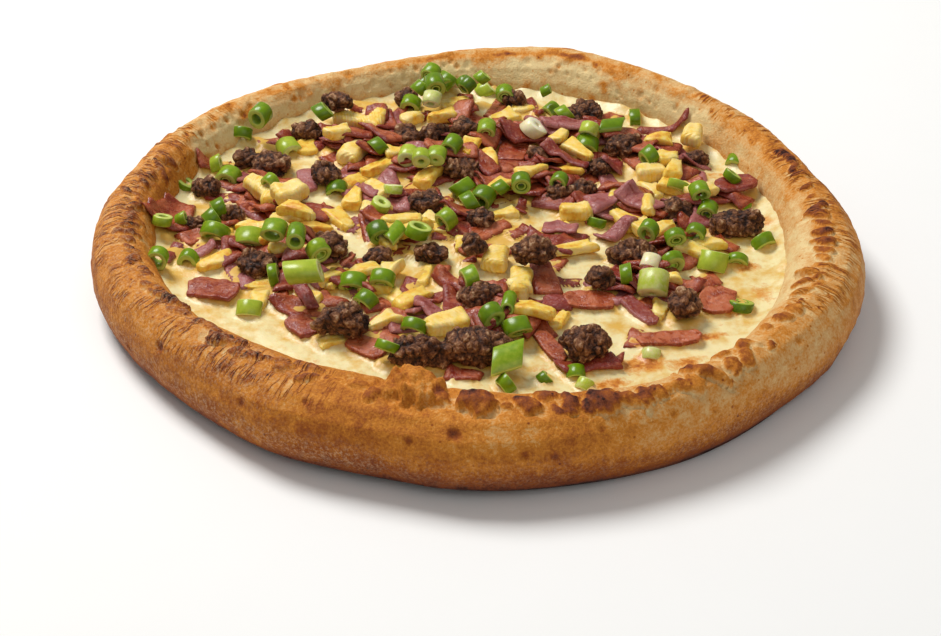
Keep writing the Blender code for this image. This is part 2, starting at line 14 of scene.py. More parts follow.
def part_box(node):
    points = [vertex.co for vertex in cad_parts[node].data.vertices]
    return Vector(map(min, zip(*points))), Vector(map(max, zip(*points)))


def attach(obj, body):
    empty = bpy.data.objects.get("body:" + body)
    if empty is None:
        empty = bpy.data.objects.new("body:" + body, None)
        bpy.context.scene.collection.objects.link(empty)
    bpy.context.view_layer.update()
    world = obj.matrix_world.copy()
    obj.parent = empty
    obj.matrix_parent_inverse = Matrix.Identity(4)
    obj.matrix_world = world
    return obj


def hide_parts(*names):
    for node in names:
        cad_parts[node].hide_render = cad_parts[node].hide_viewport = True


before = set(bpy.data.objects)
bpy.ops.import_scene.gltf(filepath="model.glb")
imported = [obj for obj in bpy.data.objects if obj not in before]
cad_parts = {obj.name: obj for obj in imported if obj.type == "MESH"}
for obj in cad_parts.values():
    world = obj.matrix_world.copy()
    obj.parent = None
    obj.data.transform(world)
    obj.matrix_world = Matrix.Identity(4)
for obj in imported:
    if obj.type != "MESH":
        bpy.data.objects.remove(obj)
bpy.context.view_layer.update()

bl_info = {
    "name": "Pan pizza",
    "version": (1, 0, 0),
    "blender": (4, 5, 0),
    "location": "3D View > Sidebar > Pizza",
    "description": "Bakes the crust, melts the cheese and lays the toppings of a pan pizza",
    "category": "Object",
}

MM = 0.001
SEED = 11
ROOT = "root"

# The photograph's view: 33.5 degrees above the floor. The lens is in millimetres for a 36 mm sensor.
VIEW_TARGET = Vector((-2.3, -38.0, 0.0)) * MM
VIEW_DISTANCE = 850.0 * MM
VIEW_ELEVATION = math.radians(33.5)
VIEW_LENS = 76.86

# Places of toppings are read in plan at one level. What lies higher or lower is moved along the
# line of sight. The reading's origin lies this far from the middle of the outline.
READ_LEVEL = 24.0 * MM
READ_SHIFT = Vector((0.2, -1.5, 0.0)) * MM
EYE = Vector((-2.3, -746.5, 469.0)) * MM

# The rim is rebuilt round a core line half way between its inner and outer walls.
RIM_TURNS = 1000
SECTION_POINTS = 92
CORE_LEVEL = 14.0 * MM
TOE_LEVEL = 15.5 * MM              # a level that meets the rim's inner wall above the base
FLOOR_LEVEL = 13.0 * MM            # top of the base under the cheese
FIRST_SLANT = 164.0                # degrees, from the rim's inner wall over the crest
LAST_SLANT = -62.0
RIM_HARMONICS = 26.0               # waves round the rim that are kept from the faceted solid
RIM_RADIUS = 148.0 * MM            # of the crest, for sizes round the rim
FOLD_SPREAD = 1.58                 # folds swelled sideways as they baked

CHEESE_LEVEL = 17.0 * MM
CHEESE_TURNS = 620
CHEESE_RINGS = 104

TOPPED_MIDDLE = (-4.0, 14.0)        # of the thickly topped part, in millimetres of plan reading
TOPPED_RADIUS = 122.0
THIN_FROM = 92.0                   # from here out to the radius the toppings lie ever more sparsely
LIE_BACK = 10.0                    # what lies on the cheese is this much farther back than its reading
CLEAR_OF_RIM = 122.0
ONION_SHRINK = 0.97

REFINED_CELL = 0.55 * MM            # edge of the small faces that a packed topping is remade in
SLICE_CELL = 1.3 * MM
SPRINKLED_PITS = 70                # small pits and pale flecks of the back slope, besides those in PITS

HAM_FINISH = "cooked smoked ham"

RELIEF_CELL = 1.0 * MM
RELIEF_HALF = 175                  # cells from the middle to each side of the relief


def linear(colour):
    """Turn an sRGB hex colour into linear red, green, blue and alpha."""
    channels = [int(colour[k:k + 2], 16) / 255 for k in (1, 3, 5)]
    return tuple(c / 12.92 if c <= 0.04045 else ((c + 0.055) / 1.055) ** 2.4 for c in channels) + (1.0,)


def colour_property(name, text, colour):
    """A colour that the user may change, from its sRGB hex value."""
    return FloatVectorProperty(name=name, description=text, subtype="COLOR", size=4, min=0, max=1,
                               default=linear(colour))


def length_property(name, text, millimetres):
    """A length that the user may change, given in millimetres."""
    return FloatProperty(name=name, description=text, subtype="DISTANCE", unit="LENGTH", min=0,
                         default=millimetres * MM)


class CrustSettings(PropertyGroup):
    """The baked dough of the rim and base."""
    fold_height: FloatProperty(name="Fold height", description="Times their height in the photograph",
                               default=1.25, min=0)
    grain: length_property("Grain", "Width of the grains of the floury skin", 1.1)
    pale: colour_property("Pale dough", "Dough that stayed under the cheese's steam", "#E6CB92")
    golden: colour_property("Golden dough", "The evenly baked wall", "#CE8228")
    brown: colour_property("Brown dough", "The browned crest", "#9A5014")
    crisp: colour_property("Crisp dough", "Tops of the folds", "#7C3C1E")
    scorched: colour_property("Scorched dough", "Burnt spots", "#34120C")
    flour: colour_property("Flour", "Dusting flour", "#D6B48C")


class CheeseSettings(PropertyGroup):
    """The melted cheese."""
    wave: length_property("Wave", "Height of the slow waves of the melted layer", 0.6)
    cling: length_property("Cling", "How far cheese climbs round a topping", 1.7)
    cream: colour_property("Cream", "Melted mozzarella", "#ECDDA6")
    butter: colour_property("Butter", "Fatty yellow places", "#DDB052")
    toasted: colour_property("Toasted", "Browned blisters", "#A8581A")


class ToppingSettings(PropertyGroup):
    """Beef, ham, pineapple and spring onion."""
    beef_grain: length_property("Beef grain", "Width of a grain of minced beef", 3.2)
    ham_thickness: length_property("Ham thickness", "Thickness of a ham slice", 1.7)
    onion_wall: FloatProperty(name="Onion wall", description="Wall as a share of the diameter",
                              default=0.24, min=0.05, max=0.45, subtype="FACTOR")
    beef: colour_property("Beef", "Fried minced beef", "#8E5C36")
    ham: colour_property("Ham", "Cooked smoked ham", "#9E4622")
    pineapple: colour_property("Pineapple", "Baked pineapple", "#EEC650")
    onion: colour_property("Onion green", "Green skin of spring onion", "#74940A")
    seed: IntProperty(name="Seed", description="Start of the random draws", default=SEED)


class StageSettings(PropertyGroup):
    """Floor, light and camera."""
    floor: colour_property("Floor", "Plain pale floor", "#F6F5F2")
    key: FloatProperty(name="Key light", description="Strength of the main light", default=31.0,
                       min=0, unit="POWER")
    fill: FloatProperty(name="Fill light", description="Strength of the front light", default=4.0,
                        min=0, unit="POWER")
    sky: FloatProperty(name="Sky", description="Strength of the even light", default=0.30, min=0)


def per(millimetres):
    """A texture scale that gives details of this size on Object coordinates."""
    return 1 / (millimetres * MM)


def feed(tree, node, inputs):
    """Give a node's inputs their values, or link them to the outputs that feed them."""
    for name, value in inputs.items():
        if isinstance(value, bpy.types.NodeSocket):
            tree.links.new(value, node.inputs[name])
        else:
            node.inputs[name].default_value = value


def add(tree, kind, inputs=None, output=0, stops=(), **settings):
    """Add a shader node with its settings, inputs and ramp stops, and return the output asked for.

    It returns the node itself where the output is None.
    """
    node = tree.nodes.new("ShaderNode" + kind)
    for name, value in settings.items():
        setattr(node, name, value)
    feed(tree, node, inputs or {})
    if stops:
        elements = node.color_ramp.elements
        while len(elements) < len(stops):
            elements.new(0.5)
        for element, (position, colour) in zip(elements, stops):
            element.position = position
            element.color = colour
    return node if output is None else node.outputs[output]


def new_material(name):
    """A material with its output and shader, and the Object coordinates that its patterns read."""
    material = bpy.data.materials.new(name)
    material.use_nodes = True
    tree = material.node_tree
    tree.nodes.clear()
    shader = add(tree, "BsdfPrincipled", output=None)
    add(tree, "OutputMaterial", {"Surface": shader.outputs["BSDF"]}, output=None)
    return material, tree, shader, add(tree, "TexCoord", output="Object")


def baked_dough(settings):
    """Baked wheat dough: matt, finely grained, from cream through gold to scorched brown."""
    material, tree, shader, place = new_material("baked wheat dough")
    bake = add(tree, "Attribute", output="Fac", attribute_name="bake")
    dusting = add(tree, "Attribute", output="Fac", attribute_name="flour")
    ruffled = add(tree, "Attribute", output="Fac", attribute_name="ruffled")
    over_rim = add(tree, "Attribute", output="Vector", attribute_name="over_rim")
    blotch = add(tree, "TexNoise", {"Vector": place, "Scale": per(15.0), "Detail": 3.0})
    mottle = add(tree, "TexNoise", {"Vector": place, "Scale": per(5.0), "Detail": 5.0, "Roughness": 0.66})
    grain = add(tree, "TexNoise", {"Vector": place, "Scale": 1 / settings.grain, "Detail": 3.0,
                                   "Roughness": 0.7})
    blotched = add(tree, "Math", {0: blotch, 1: 0.34, 2: bake}, operation="MULTIPLY_ADD")
    mottled = add(tree, "Math", {0: mottle, 1: 0.52, 2: blotched}, operation="MULTIPLY_ADD")
    grained = add(tree, "Math", {0: grain, 1: 0.56, 2: mottled}, operation="MULTIPLY_ADD")
    # The fine wrinkles of the crest are the thin lines where a stretched noise crosses its middle.
    folded = add(tree, "TexNoise", {"Vector": over_rim, "Scale": per(2.6), "Detail": 2.0, "Roughness": 0.55})
    away = add(tree, "Math", {0: folded, 1: 0.5}, operation="SUBTRACT")
    apart = add(tree, "Math", {0: away}, operation="ABSOLUTE")
    line = add(tree, "MapRange", {"Value": apart, "From Max": 0.055, "To Min": 1.0, "To Max": 0.0})
    wrinkle = add(tree, "Math", {0: line, 1: ruffled}, operation="MULTIPLY")
    # Beside each wrinkle the ridge is painted paler: a painted highlight.
    ridge_highlight = add(tree, "MapRange", {"Value": folded, "From Min": 0.50, "From Max": 0.62, "To Max": -0.16})
    stretched = add(tree, "Math", {0: ridge_highlight, 1: ruffled, 2: grained}, operation="MULTIPLY_ADD")
    # The wrinkle lines are painted darker: painted shade in the creases.
    crease_shade_and_highlight = add(tree, "Math", {0: wrinkle, 1: 0.34, 2: stretched}, operation="MULTIPLY_ADD")
    # Dark pores with no depth in the surface: painted shade of small pits.
    bubble = add(tree, "TexVoronoi", {"Vector": place, "Scale": per(6.0)})
    pore_shade = add(tree, "MapRange", {"Value": bubble, "From Min": 0.05, "From Max": 0.12,
                                  "To Min": 0.30, "To Max": 0.0})
    pore_shaded = add(tree, "Math", {0: pore_shade, 1: crease_shade_and_highlight}, operation="ADD")
    tone = add(tree, "Math", {0: pore_shaded, 1: 0.72}, operation="SUBTRACT")
    stops = ((0.0, settings.pale), (0.38, settings.golden), (0.62, settings.brown),
             (0.80, settings.crisp), (1.0, settings.scorched))
    colour = add(tree, "ValToRGB", {"Fac": tone}, stops=stops)
    specks = add(tree, "TexNoise", {"Vector": place, "Scale": per(1.4), "Detail": 4.0, "Roughness": 0.85})
    speckled = add(tree, "MapRange", {"Value": specks, "From Min": 0.48, "From Max": 0.66})
    floury = add(tree, "Math", {0: speckled, 1: dusting}, operation="MULTIPLY")
    dusted = add(tree, "Mix", {0: floury, 6: colour, 7: settings.flour}, 2, data_type="RGBA")
    rough = add(tree, "Math", {0: mottle, 1: 0.8, 2: grain}, operation="MULTIPLY_ADD")
    creased = add(tree, "Math", {0: wrinkle, 1: -1.3, 2: rough}, operation="MULTIPLY_ADD")
    bump = add(tree, "Bump", {"Height": creased, "Strength": 0.8, "Distance": 0.6 * MM})
    feed(tree, shader, {"Base Color": dusted, "Normal": bump, "Roughness": 0.72,
                        "Specular IOR Level": 0.2})
    return material


def melted_mozzarella(settings):
    """Melted mozzarella: creamy, soft, a little oily, with toasted blisters."""
    material, tree, shader, place = new_material("melted mozzarella")
    toast = add(tree, "Attribute", output="Fac", attribute_name="toast")
    juice = add(tree, "Attribute", output="Fac", attribute_name="juice")
    curd = add(tree, "TexNoise", {"Vector": place, "Scale": per(7.0), "Detail": 5.0, "Roughness": 0.62})
    soaked = add(tree, "Math", {0: juice, 1: 0.26, 2: curd}, operation="MULTIPLY_ADD")
    curdled = add(tree, "MapRange", {"Value": soaked, "From Min": 0.44, "From Max": 0.72})
    creamy = add(tree, "Mix", {0: curdled, 6: settings.cream, 7: settings.butter}, 2, data_type="RGBA")
    patch = add(tree, "TexNoise", {"Vector": place, "Scale": per(3.2), "Detail": 4.0, "Roughness": 0.7})
    blister = add(tree, "Math", {0: patch, 1: 2.0, 2: toast}, operation="MULTIPLY_ADD")
    gilded = add(tree, "MapRange", {"Value": blister, "From Min": 1.30, "From Max": 1.85})
    golden = add(tree, "Mix", {0: gilded, 6: creamy, 7: linear("#D88E30")}, 2, data_type="RGBA")
    browned = add(tree, "MapRange", {"Value": blister, "From Min": 1.75, "From Max": 2.25})
    colour = add(tree, "Mix", {0: browned, 6: golden, 7: settings.toasted}, 2, data_type="RGBA")
    bump = add(tree, "Bump", {"Height": patch, "Strength": 0.5, "Distance": 0.6 * MM})
    feed(tree, shader, {"Base Color": colour, "Normal": bump, "Roughness": 0.33,
                        "Specular IOR Level": 0.4, "Subsurface Weight": 0.2,
                        "Subsurface Scale": 2.0 * MM, "Subsurface Radius": (1.0, 0.7, 0.4)})
    return material


def fried_beef(settings):
    """Fried minced beef: dark brown crumbly grains, dull, with painted shade in the creases and pale specks
    that are painted glints.
    """
    material, tree, shader, place = new_material("fried minced beef")
    crease = add(tree, "Attribute", output="Fac", attribute_name="grain")
    mottle = add(tree, "TexNoise", {"Vector": place, "Scale": per(3.0), "Detail": 5.0, "Roughness": 0.75})
    crumb = add(tree, "TexNoise", {"Vector": place, "Scale": per(1.3), "Detail": 2.0, "Roughness": 0.7})
    # The grain attribute is low in the creases, which come out darker: painted shade.
    mottled = add(tree, "Math", {0: mottle, 1: 1.3, 2: crease}, operation="MULTIPLY_ADD")
    tone = add(tree, "Math", {0: crumb, 1: 0.9, 2: mottled}, operation="MULTIPLY_ADD")
    lowered = add(tree, "Math", {0: tone, 1: 0.84}, operation="SUBTRACT")
    # The palest stop lights the brightest crumb specks: painted glints.
    stops = ((0.20, linear("#220E06")), (0.46, linear("#5C3218")), (0.72, settings.beef),
             (1.0, linear("#D0AC84")))
    colour = add(tree, "ValToRGB", {"Fac": lowered}, stops=stops)
    height = add(tree, "Math", {0: mottle, 1: crumb}, operation="ADD")
    bump = add(tree, "Bump", {"Height": height, "Strength": 1.0, "Distance": 0.9 * MM})
    wet = add(tree, "MapRange", {"Value": crumb, "From Min": 0.40, "From Max": 0.65,
                                 "To Min": 0.70, "To Max": 0.36})
    feed(tree, shader, {"Base Color": colour, "Normal": bump, "Roughness": wet,
                        "Specular IOR Level": 0.32})
    return material


def smoked_ham(settings):
    """Cooked smoked ham: wet red meat with fine streaks, darker rinds, some slices purple."""
    material, tree, shader, place = new_material(HAM_FINISH)
    tone = add(tree, "Attribute", output="Fac", attribute_name="tone")
    meat = add(tree, "TexNoise", {"Vector": place, "Scale": per(6.0), "Detail": 5.0, "Roughness": 0.7,
                                  "Distortion": 0.8})
    mixed = add(tree, "Math", {0: meat, 1: 1.9, 2: tone}, operation="MULTIPLY_ADD")
    shifted = add(tree, "Math", {0: mixed, 1: 0.88}, operation="SUBTRACT")
    stops = ((0.0, linear("#BA623A")), (0.22, settings.ham), (0.46, linear("#8A3018")),
             (0.72, linear("#842A22")), (1.0, linear("#A8625E")))
    colour = add(tree, "ValToRGB", {"Fac": shifted}, stops=stops)
    fat = add(tree, "TexNoise", {"Vector": place, "Scale": per(2.2), "Detail": 3.0, "Roughness": 0.6,
                                 "Distortion": 2.0})
    streak = add(tree, "MapRange", {"Value": fat, "From Min": 0.55, "From Max": 0.72, "To Max": 0.62})
    marbled = add(tree, "Mix", {0: streak, 6: colour, 7: linear("#D08C6C")}, 2, data_type="RGBA")
    bump = add(tree, "Bump", {"Height": fat, "Strength": 0.7, "Distance": 0.7 * MM})
    wet = add(tree, "MapRange", {"Value": meat, "From Min": 0.38, "From Max": 0.62,
                                 "To Min": 0.46, "To Max": 0.20})
    feed(tree, shader, {"Base Color": marbled, "Normal": bump, "Roughness": wet,
                        "Specular IOR Level": 0.46, "Subsurface Weight": 0.15,
                        "Subsurface Scale": 1.5 * MM, "Subsurface Radius": (1.0, 0.3, 0.2)})
    return material


def baked_pineapple(settings):
    """Baked pineapple: translucent yellow flesh with fine fibres and browned corners."""
    material, tree, shader, place = new_material("baked pineapple flesh")
    tone = add(tree, "Attribute", output="Fac", attribute_name="tone")
    flesh = add(tree, "TexNoise", {"Vector": place, "Scale": per(4.0), "Detail": 5.0, "Roughness": 0.65})
    mixed = add(tree, "Math", {0: flesh, 1: 1.7, 2: tone}, operation="MULTIPLY_ADD")
    shifted = add(tree, "Math", {0: mixed, 1: 0.84}, operation="SUBTRACT")
    stops = ((0.0, linear("#F2D688")), (0.32, settings.pineapple), (0.64, linear("#DC9626")),
             (1.0, linear("#A0601C")))
    colour = add(tree, "ValToRGB", {"Fac": shifted}, stops=stops)
    fibre = add(tree, "TexNoise", {"Vector": place, "Scale": per(1.8), "Detail": 3.0, "Roughness": 0.6,
                                   "Distortion": 1.0})
    bump = add(tree, "Bump", {"Height": fibre, "Strength": 0.5, "Distance": 0.5 * MM})
    feed(tree, shader, {"Base Color": colour, "Normal": bump, "Roughness": 0.36,
                        "Specular IOR Level": 0.35, "Subsurface Weight": 0.45,
                        "Subsurface Scale": 3.0 * MM, "Subsurface Radius": (1.0, 0.75, 0.25)})
    return material


def cut_onion(settings):
    """Cut spring onion: waxy green skin outside, pale wet cut faces, white where near the root."""
    material, tree, shader, place = new_material("cut spring onion")
    skin = add(tree, "Attribute", output="Fac", attribute_name="skin")
    tone = add(tree, "Attribute", output="Fac", attribute_name="tone")
    vein = add(tree, "TexNoise", {"Vector": place, "Scale": per(2.5), "Detail": 3.0, "Roughness": 0.6})
    mixed = add(tree, "Math", {0: vein, 1: 0.35, 2: tone}, operation="MULTIPLY_ADD")
    shifted = add(tree, "Math", {0: mixed, 1: 0.17}, operation="SUBTRACT")
    skin_stops = ((0.0, linear("#EEE2B8")), (0.25, linear("#B2C03C")), (0.56, settings.onion),
                  (1.0, linear("#3E5A02")))
    outside = add(tree, "ValToRGB", {"Fac": shifted}, stops=skin_stops)
    cut_stops = ((0.0, linear("#F6F0D0")), (0.4, linear("#CCD670")), (1.0, linear("#84A01C")))
    cut = add(tree, "ValToRGB", {"Fac": shifted}, stops=cut_stops)
    colour = add(tree, "Mix", {0: skin, 6: cut, 7: outside}, 2, data_type="RGBA")
    feed(tree, shader, {"Base Color": colour, "Roughness": 0.26, "Specular IOR Level": 0.32,
                        "Subsurface Weight": 0.2, "Subsurface Scale": 1.5 * MM,
                        "Subsurface Radius": (0.5, 1.0, 0.2)})
    return material


def studio_floor(settings):
    """Matt white studio paper with a faint unevenness."""
    material, tree, shader, place = new_material("matt studio paper")
    pulp = add(tree, "TexNoise", {"Vector": place, "Scale": per(30.0), "Detail": 3.0})
    shade = add(tree, "MapRange", {"Value": pulp, "To Max": 0.06})
    colour = add(tree, "Mix", {0: shade, 6: settings.floor, 7: linear("#DDDAD4")}, 2, data_type="RGBA")
    feed(tree, shader, {"Base Color": colour, "Roughness": 0.9, "Specular IOR Level": 0.1})
    return material


def waves(points, size, seed=0.0):
    """Smooth noise from about -1 to 1 at each point. Size is the length of one wave."""
    shift = Vector((seed, 1.7 * seed, -seed))
    return np.array([noise.noise(Vector(point) / size + shift) for point in points])


def grains(points, size, seed=0.0):
    """How deep each point lies in its own grain: 0 in the crease between two, up to 1 inside."""
    shift = Vector((seed, -seed, 0.4 * seed))
    depth = np.empty(len(points))
    for index, point in enumerate(points):
        near = noise.voronoi(Vector(point) / size + shift)[0]
        depth[index] = min((near[1] - near[0]) * 1.8, 1.0)
    return depth


def cad_tree(*names):
    """A search tree over the faces of CAD nodes."""
    bm = bmesh.new()
    for name in names:
        bm.from_mesh(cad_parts[name].data)
    tree = BVHTree.FromBMesh(bm)
    bm.free()
    return tree


def smooth_round(values):
    """Keep only the slow changes of values that are spaced evenly round the circle."""
    spectrum = np.fft.rfft(values, axis=0)
    fade = np.exp(-(np.arange(len(spectrum)) / RIM_HARMONICS) ** 2)
    spectrum *= fade.reshape((-1,) + (1,) * (values.ndim - 1))
    return np.fft.irfft(spectrum, n=len(values), axis=0)


def ring_sheet(turns, rows):
    """A sheet of quads to bend round the Z axis, with the turn and the row of each of its points."""
    bm = bmesh.new()
    bmesh.ops.create_grid(bm, x_segments=turns, y_segments=rows, size=0.5)
    flat = np.array([vertex.co for vertex in bm.verts])
    turn = np.rint((flat[:, 0] + 0.5) * turns).astype(int) % turns
    row = np.rint((flat[:, 1] + 0.5) * rows).astype(int)
    return bm, turn, row


def close_ring(bm, radius, angle, height):
    """Place the points of a ring sheet, then join its ends and the rows at radius zero."""
    for vertex, r, a, z in zip(bm.verts, radius, angle, height):
        vertex.co = (r * math.cos(a), r * math.sin(a), z)
    bmesh.ops.remove_doubles(bm, verts=bm.verts, dist=1e-6)
    bmesh.ops.recalc_face_normals(bm, faces=bm.faces)


def finished(bm, name, material, nodes=()):
    """Make a shaded object of a bmesh that rides on the body and may replace CAD nodes."""
    mesh = bpy.data.meshes.new(name)
    bm.to_mesh(mesh)
    bm.free()
    mesh.materials.append(material)
    mesh.shade_smooth()
    piece = bpy.data.objects.new(name, mesh)
    bpy.context.scene.collection.objects.link(piece)
    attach(piece, ROOT)
    if nodes:
        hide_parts(*nodes)


def joined(forms):
    """Put several bmeshes with like attributes into one."""
    whole = bmesh.new()
    for form in forms:
        scratch = bpy.data.meshes.new("scratch")
        form.to_mesh(scratch)
        form.free()
        whole.from_mesh(scratch)
        bpy.data.meshes.remove(scratch)
    return whole


class Relief:
    """The height of the top of what lies on the pizza, on a grid of square cells in plan."""

    def __init__(self):
        self.levels = np.full((2 * RELIEF_HALF, 2 * RELIEF_HALF), CHEESE_LEVEL)
        self.covered = np.zeros(self.levels.shape)

    def cell(self, x, y):
        """The row and column of the cells that hold these points."""
        cells = [np.floor(np.asarray(place) / RELIEF_CELL).astype(int) + RELIEF_HALF for place in (y, x)]
        return tuple(np.clip(cell, 0, 2 * RELIEF_HALF - 1) for cell in cells)

    def at(self, x, y):
        """The height of the relief under these points."""
        return self.levels[self.cell(x, y)]

    def cover(self, tree, low, high, topping=True):
        """Raise the relief to the top of a form, found by looking straight down on it."""
        first_row, first_column = self.cell(low.x, low.y)
        last_row, last_column = self.cell(high.x, high.y)
        above = high.z + 10 * MM
        for row in range(first_row, last_row + 1):
            y = (row - RELIEF_HALF + 0.5) * RELIEF_CELL
            for column in range(first_column, last_column + 1):
                x = (column - RELIEF_HALF + 0.5) * RELIEF_CELL
                hit = tree.ray_cast(Vector((x, y, above)), Vector((0, 0, -1)))[0]
                if hit is not None:
                    self.levels[row, column] = max(self.levels[row, column], hit.z)
                    self.covered[row, column] = max(self.covered[row, column], float(topping))

    def cover_node(self, name, topping=True):
        """Raise the relief to the top of a CAD node."""
        low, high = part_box(name)
        self.cover(cad_tree(name), low, high, topping)

    def cover_form(self, bm):
        """Raise the relief to the top of a new topping."""
        points = np.array([vertex.co for vertex in bm.verts])
        self.cover(BVHTree.FromBMesh(bm), Vector(points.min(0)), Vector(points.max(0)))

    def near_toppings(self, reach):
        """From 0 away from toppings to 1 beside and under them."""
        blurred = self.covered.copy()
        for _ in range(max(1, round(reach / RELIEF_CELL))):
            ring = (np.roll(blurred, 1, 0) + np.roll(blurred, -1, 0) + np.roll(blurred, 1, 1)
                    + np.roll(blurred, -1, 1)) / 4
            blurred = (blurred + ring) / 2
        return blurred


def along_sight(x, y, level):
    """Follow the line of sight through a reading, in millimetres, to a level."""
    share = (EYE.z - level) / (EYE.z - READ_LEVEL)
    start_x = x * MM + READ_SHIFT.x
    start_y = y * MM + READ_SHIFT.y
    return EYE.x + (start_x - EYE.x) * share, EYE.y + (start_y - EYE.y) * share


def settle(bm, x, y, relief, bite, share):
    """Move a form along the line of sight until it rests on the relief.

    It sinks in by the bite. A share under 100, in percent, lets the other points sink in further.
    """
    points = np.array([vertex.co for vertex in bm.verts])
    middle = (points[:, 2].min() + points[:, 2].max()) / 2
    level = READ_LEVEL
    rise = 0.0
    for _ in range(5):
        place_x, place_y = along_sight(x, y, level)
        under = relief.at(points[:, 0] + place_x, points[:, 1] + place_y)
        rise = np.percentile(under - points[:, 2], share) - bite
        level = rise + middle
    place_x, place_y = along_sight(x, y, level)
    bmesh.ops.translate(bm, verts=bm.verts, vec=(place_x, place_y, rise))


def laid(pieces, relief, bite, share):
    """Settle pieces one after another, each on what lies there already, and join them into one form."""
    forms = []
    for bm, x, y in pieces:
        settle(bm, x, y, relief, bite, share)
        relief.cover_form(bm)
        forms.append(bm)
    return joined(forms)


def soften(bm):
    """Draw each point half way towards its neighbours."""
    bmesh.ops.smooth_vert(bm, verts=bm.verts, factor=0.5, use_axis_x=True, use_axis_y=True,
                          use_axis_z=True)


def refined(name, passes):
    """A copy of a CAD node in small even faces, its edges softened."""
    bm = bmesh.new()
    bm.from_mesh(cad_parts[name].data)
    bmesh.ops.remove_doubles(bm, verts=bm.verts, dist=0.01 * MM)
    mesh = bpy.data.meshes.new("scratch")
    bm.to_mesh(mesh)
    bm.free()
    holder = bpy.data.objects.new("scratch", mesh)
    bpy.context.scene.collection.objects.link(holder)
    remesh = holder.modifiers.new("remesh", "REMESH")
    remesh.mode = "VOXEL"
    remesh.voxel_size = REFINED_CELL
    depsgraph = bpy.context.evaluated_depsgraph_get()
    even = bpy.data.meshes.new_from_object(holder.evaluated_get(depsgraph))
    bm = bmesh.new()
    bm.from_mesh(even)
    bpy.data.objects.remove(holder)
    bpy.data.meshes.remove(mesh)
    bpy.data.meshes.remove(even)
    for _ in range(passes):
        soften(bm)
    bm.normal_update()
    return bm


def push_out(bm, amounts):
    """Move each point along its normal."""
    bm.normal_update()
    moves = [vertex.normal * amount for vertex, amount in zip(bm.verts, amounts)]
    for vertex, move in zip(bm.verts, moves):
        vertex.co += move


def write_layer(bm, name, values):
    """Give each point a value under a name that a material reads."""
    layer = bm.verts.layers.float.new(name)
    for vertex, value in zip(bm.verts, values):
        vertex[layer] = value


def bell(x, y, places):
    """Sum of soft round-edged patches: each is x, y, length, width in mm, turn in degrees, amount."""
    total = np.zeros_like(x)
    for middle_x, middle_y, length, width, turn, amount in places:
        angle = math.radians(turn)
        along = (x - middle_x * MM) * math.cos(angle) + (y - middle_y * MM) * math.sin(angle)
        across = (y - middle_y * MM) * math.cos(angle) - (x - middle_x * MM) * math.sin(angle)
        spread = (along / (length * MM / 2)) ** 2 + (across / (width * MM / 2)) ** 2
        total += amount * np.exp(-spread ** 1.5)
    return total


def between(values, low, high):
    """From 0 at low to 1 at high, with soft ends."""
    share = np.clip((values - low) / (high - low), 0, 1)
    return share * share * (3 - 2 * share)


def sector(turns, first, last, blend):
    """1 between two directions in degrees, fading over the blend on both sides."""
    middle = math.radians((first + last) / 2)
    half = math.radians((last - first) / 2)
    away = np.abs((turns - middle + math.pi) % math.tau - math.pi)
    return 1 - between(away, half, half + math.radians(blend))


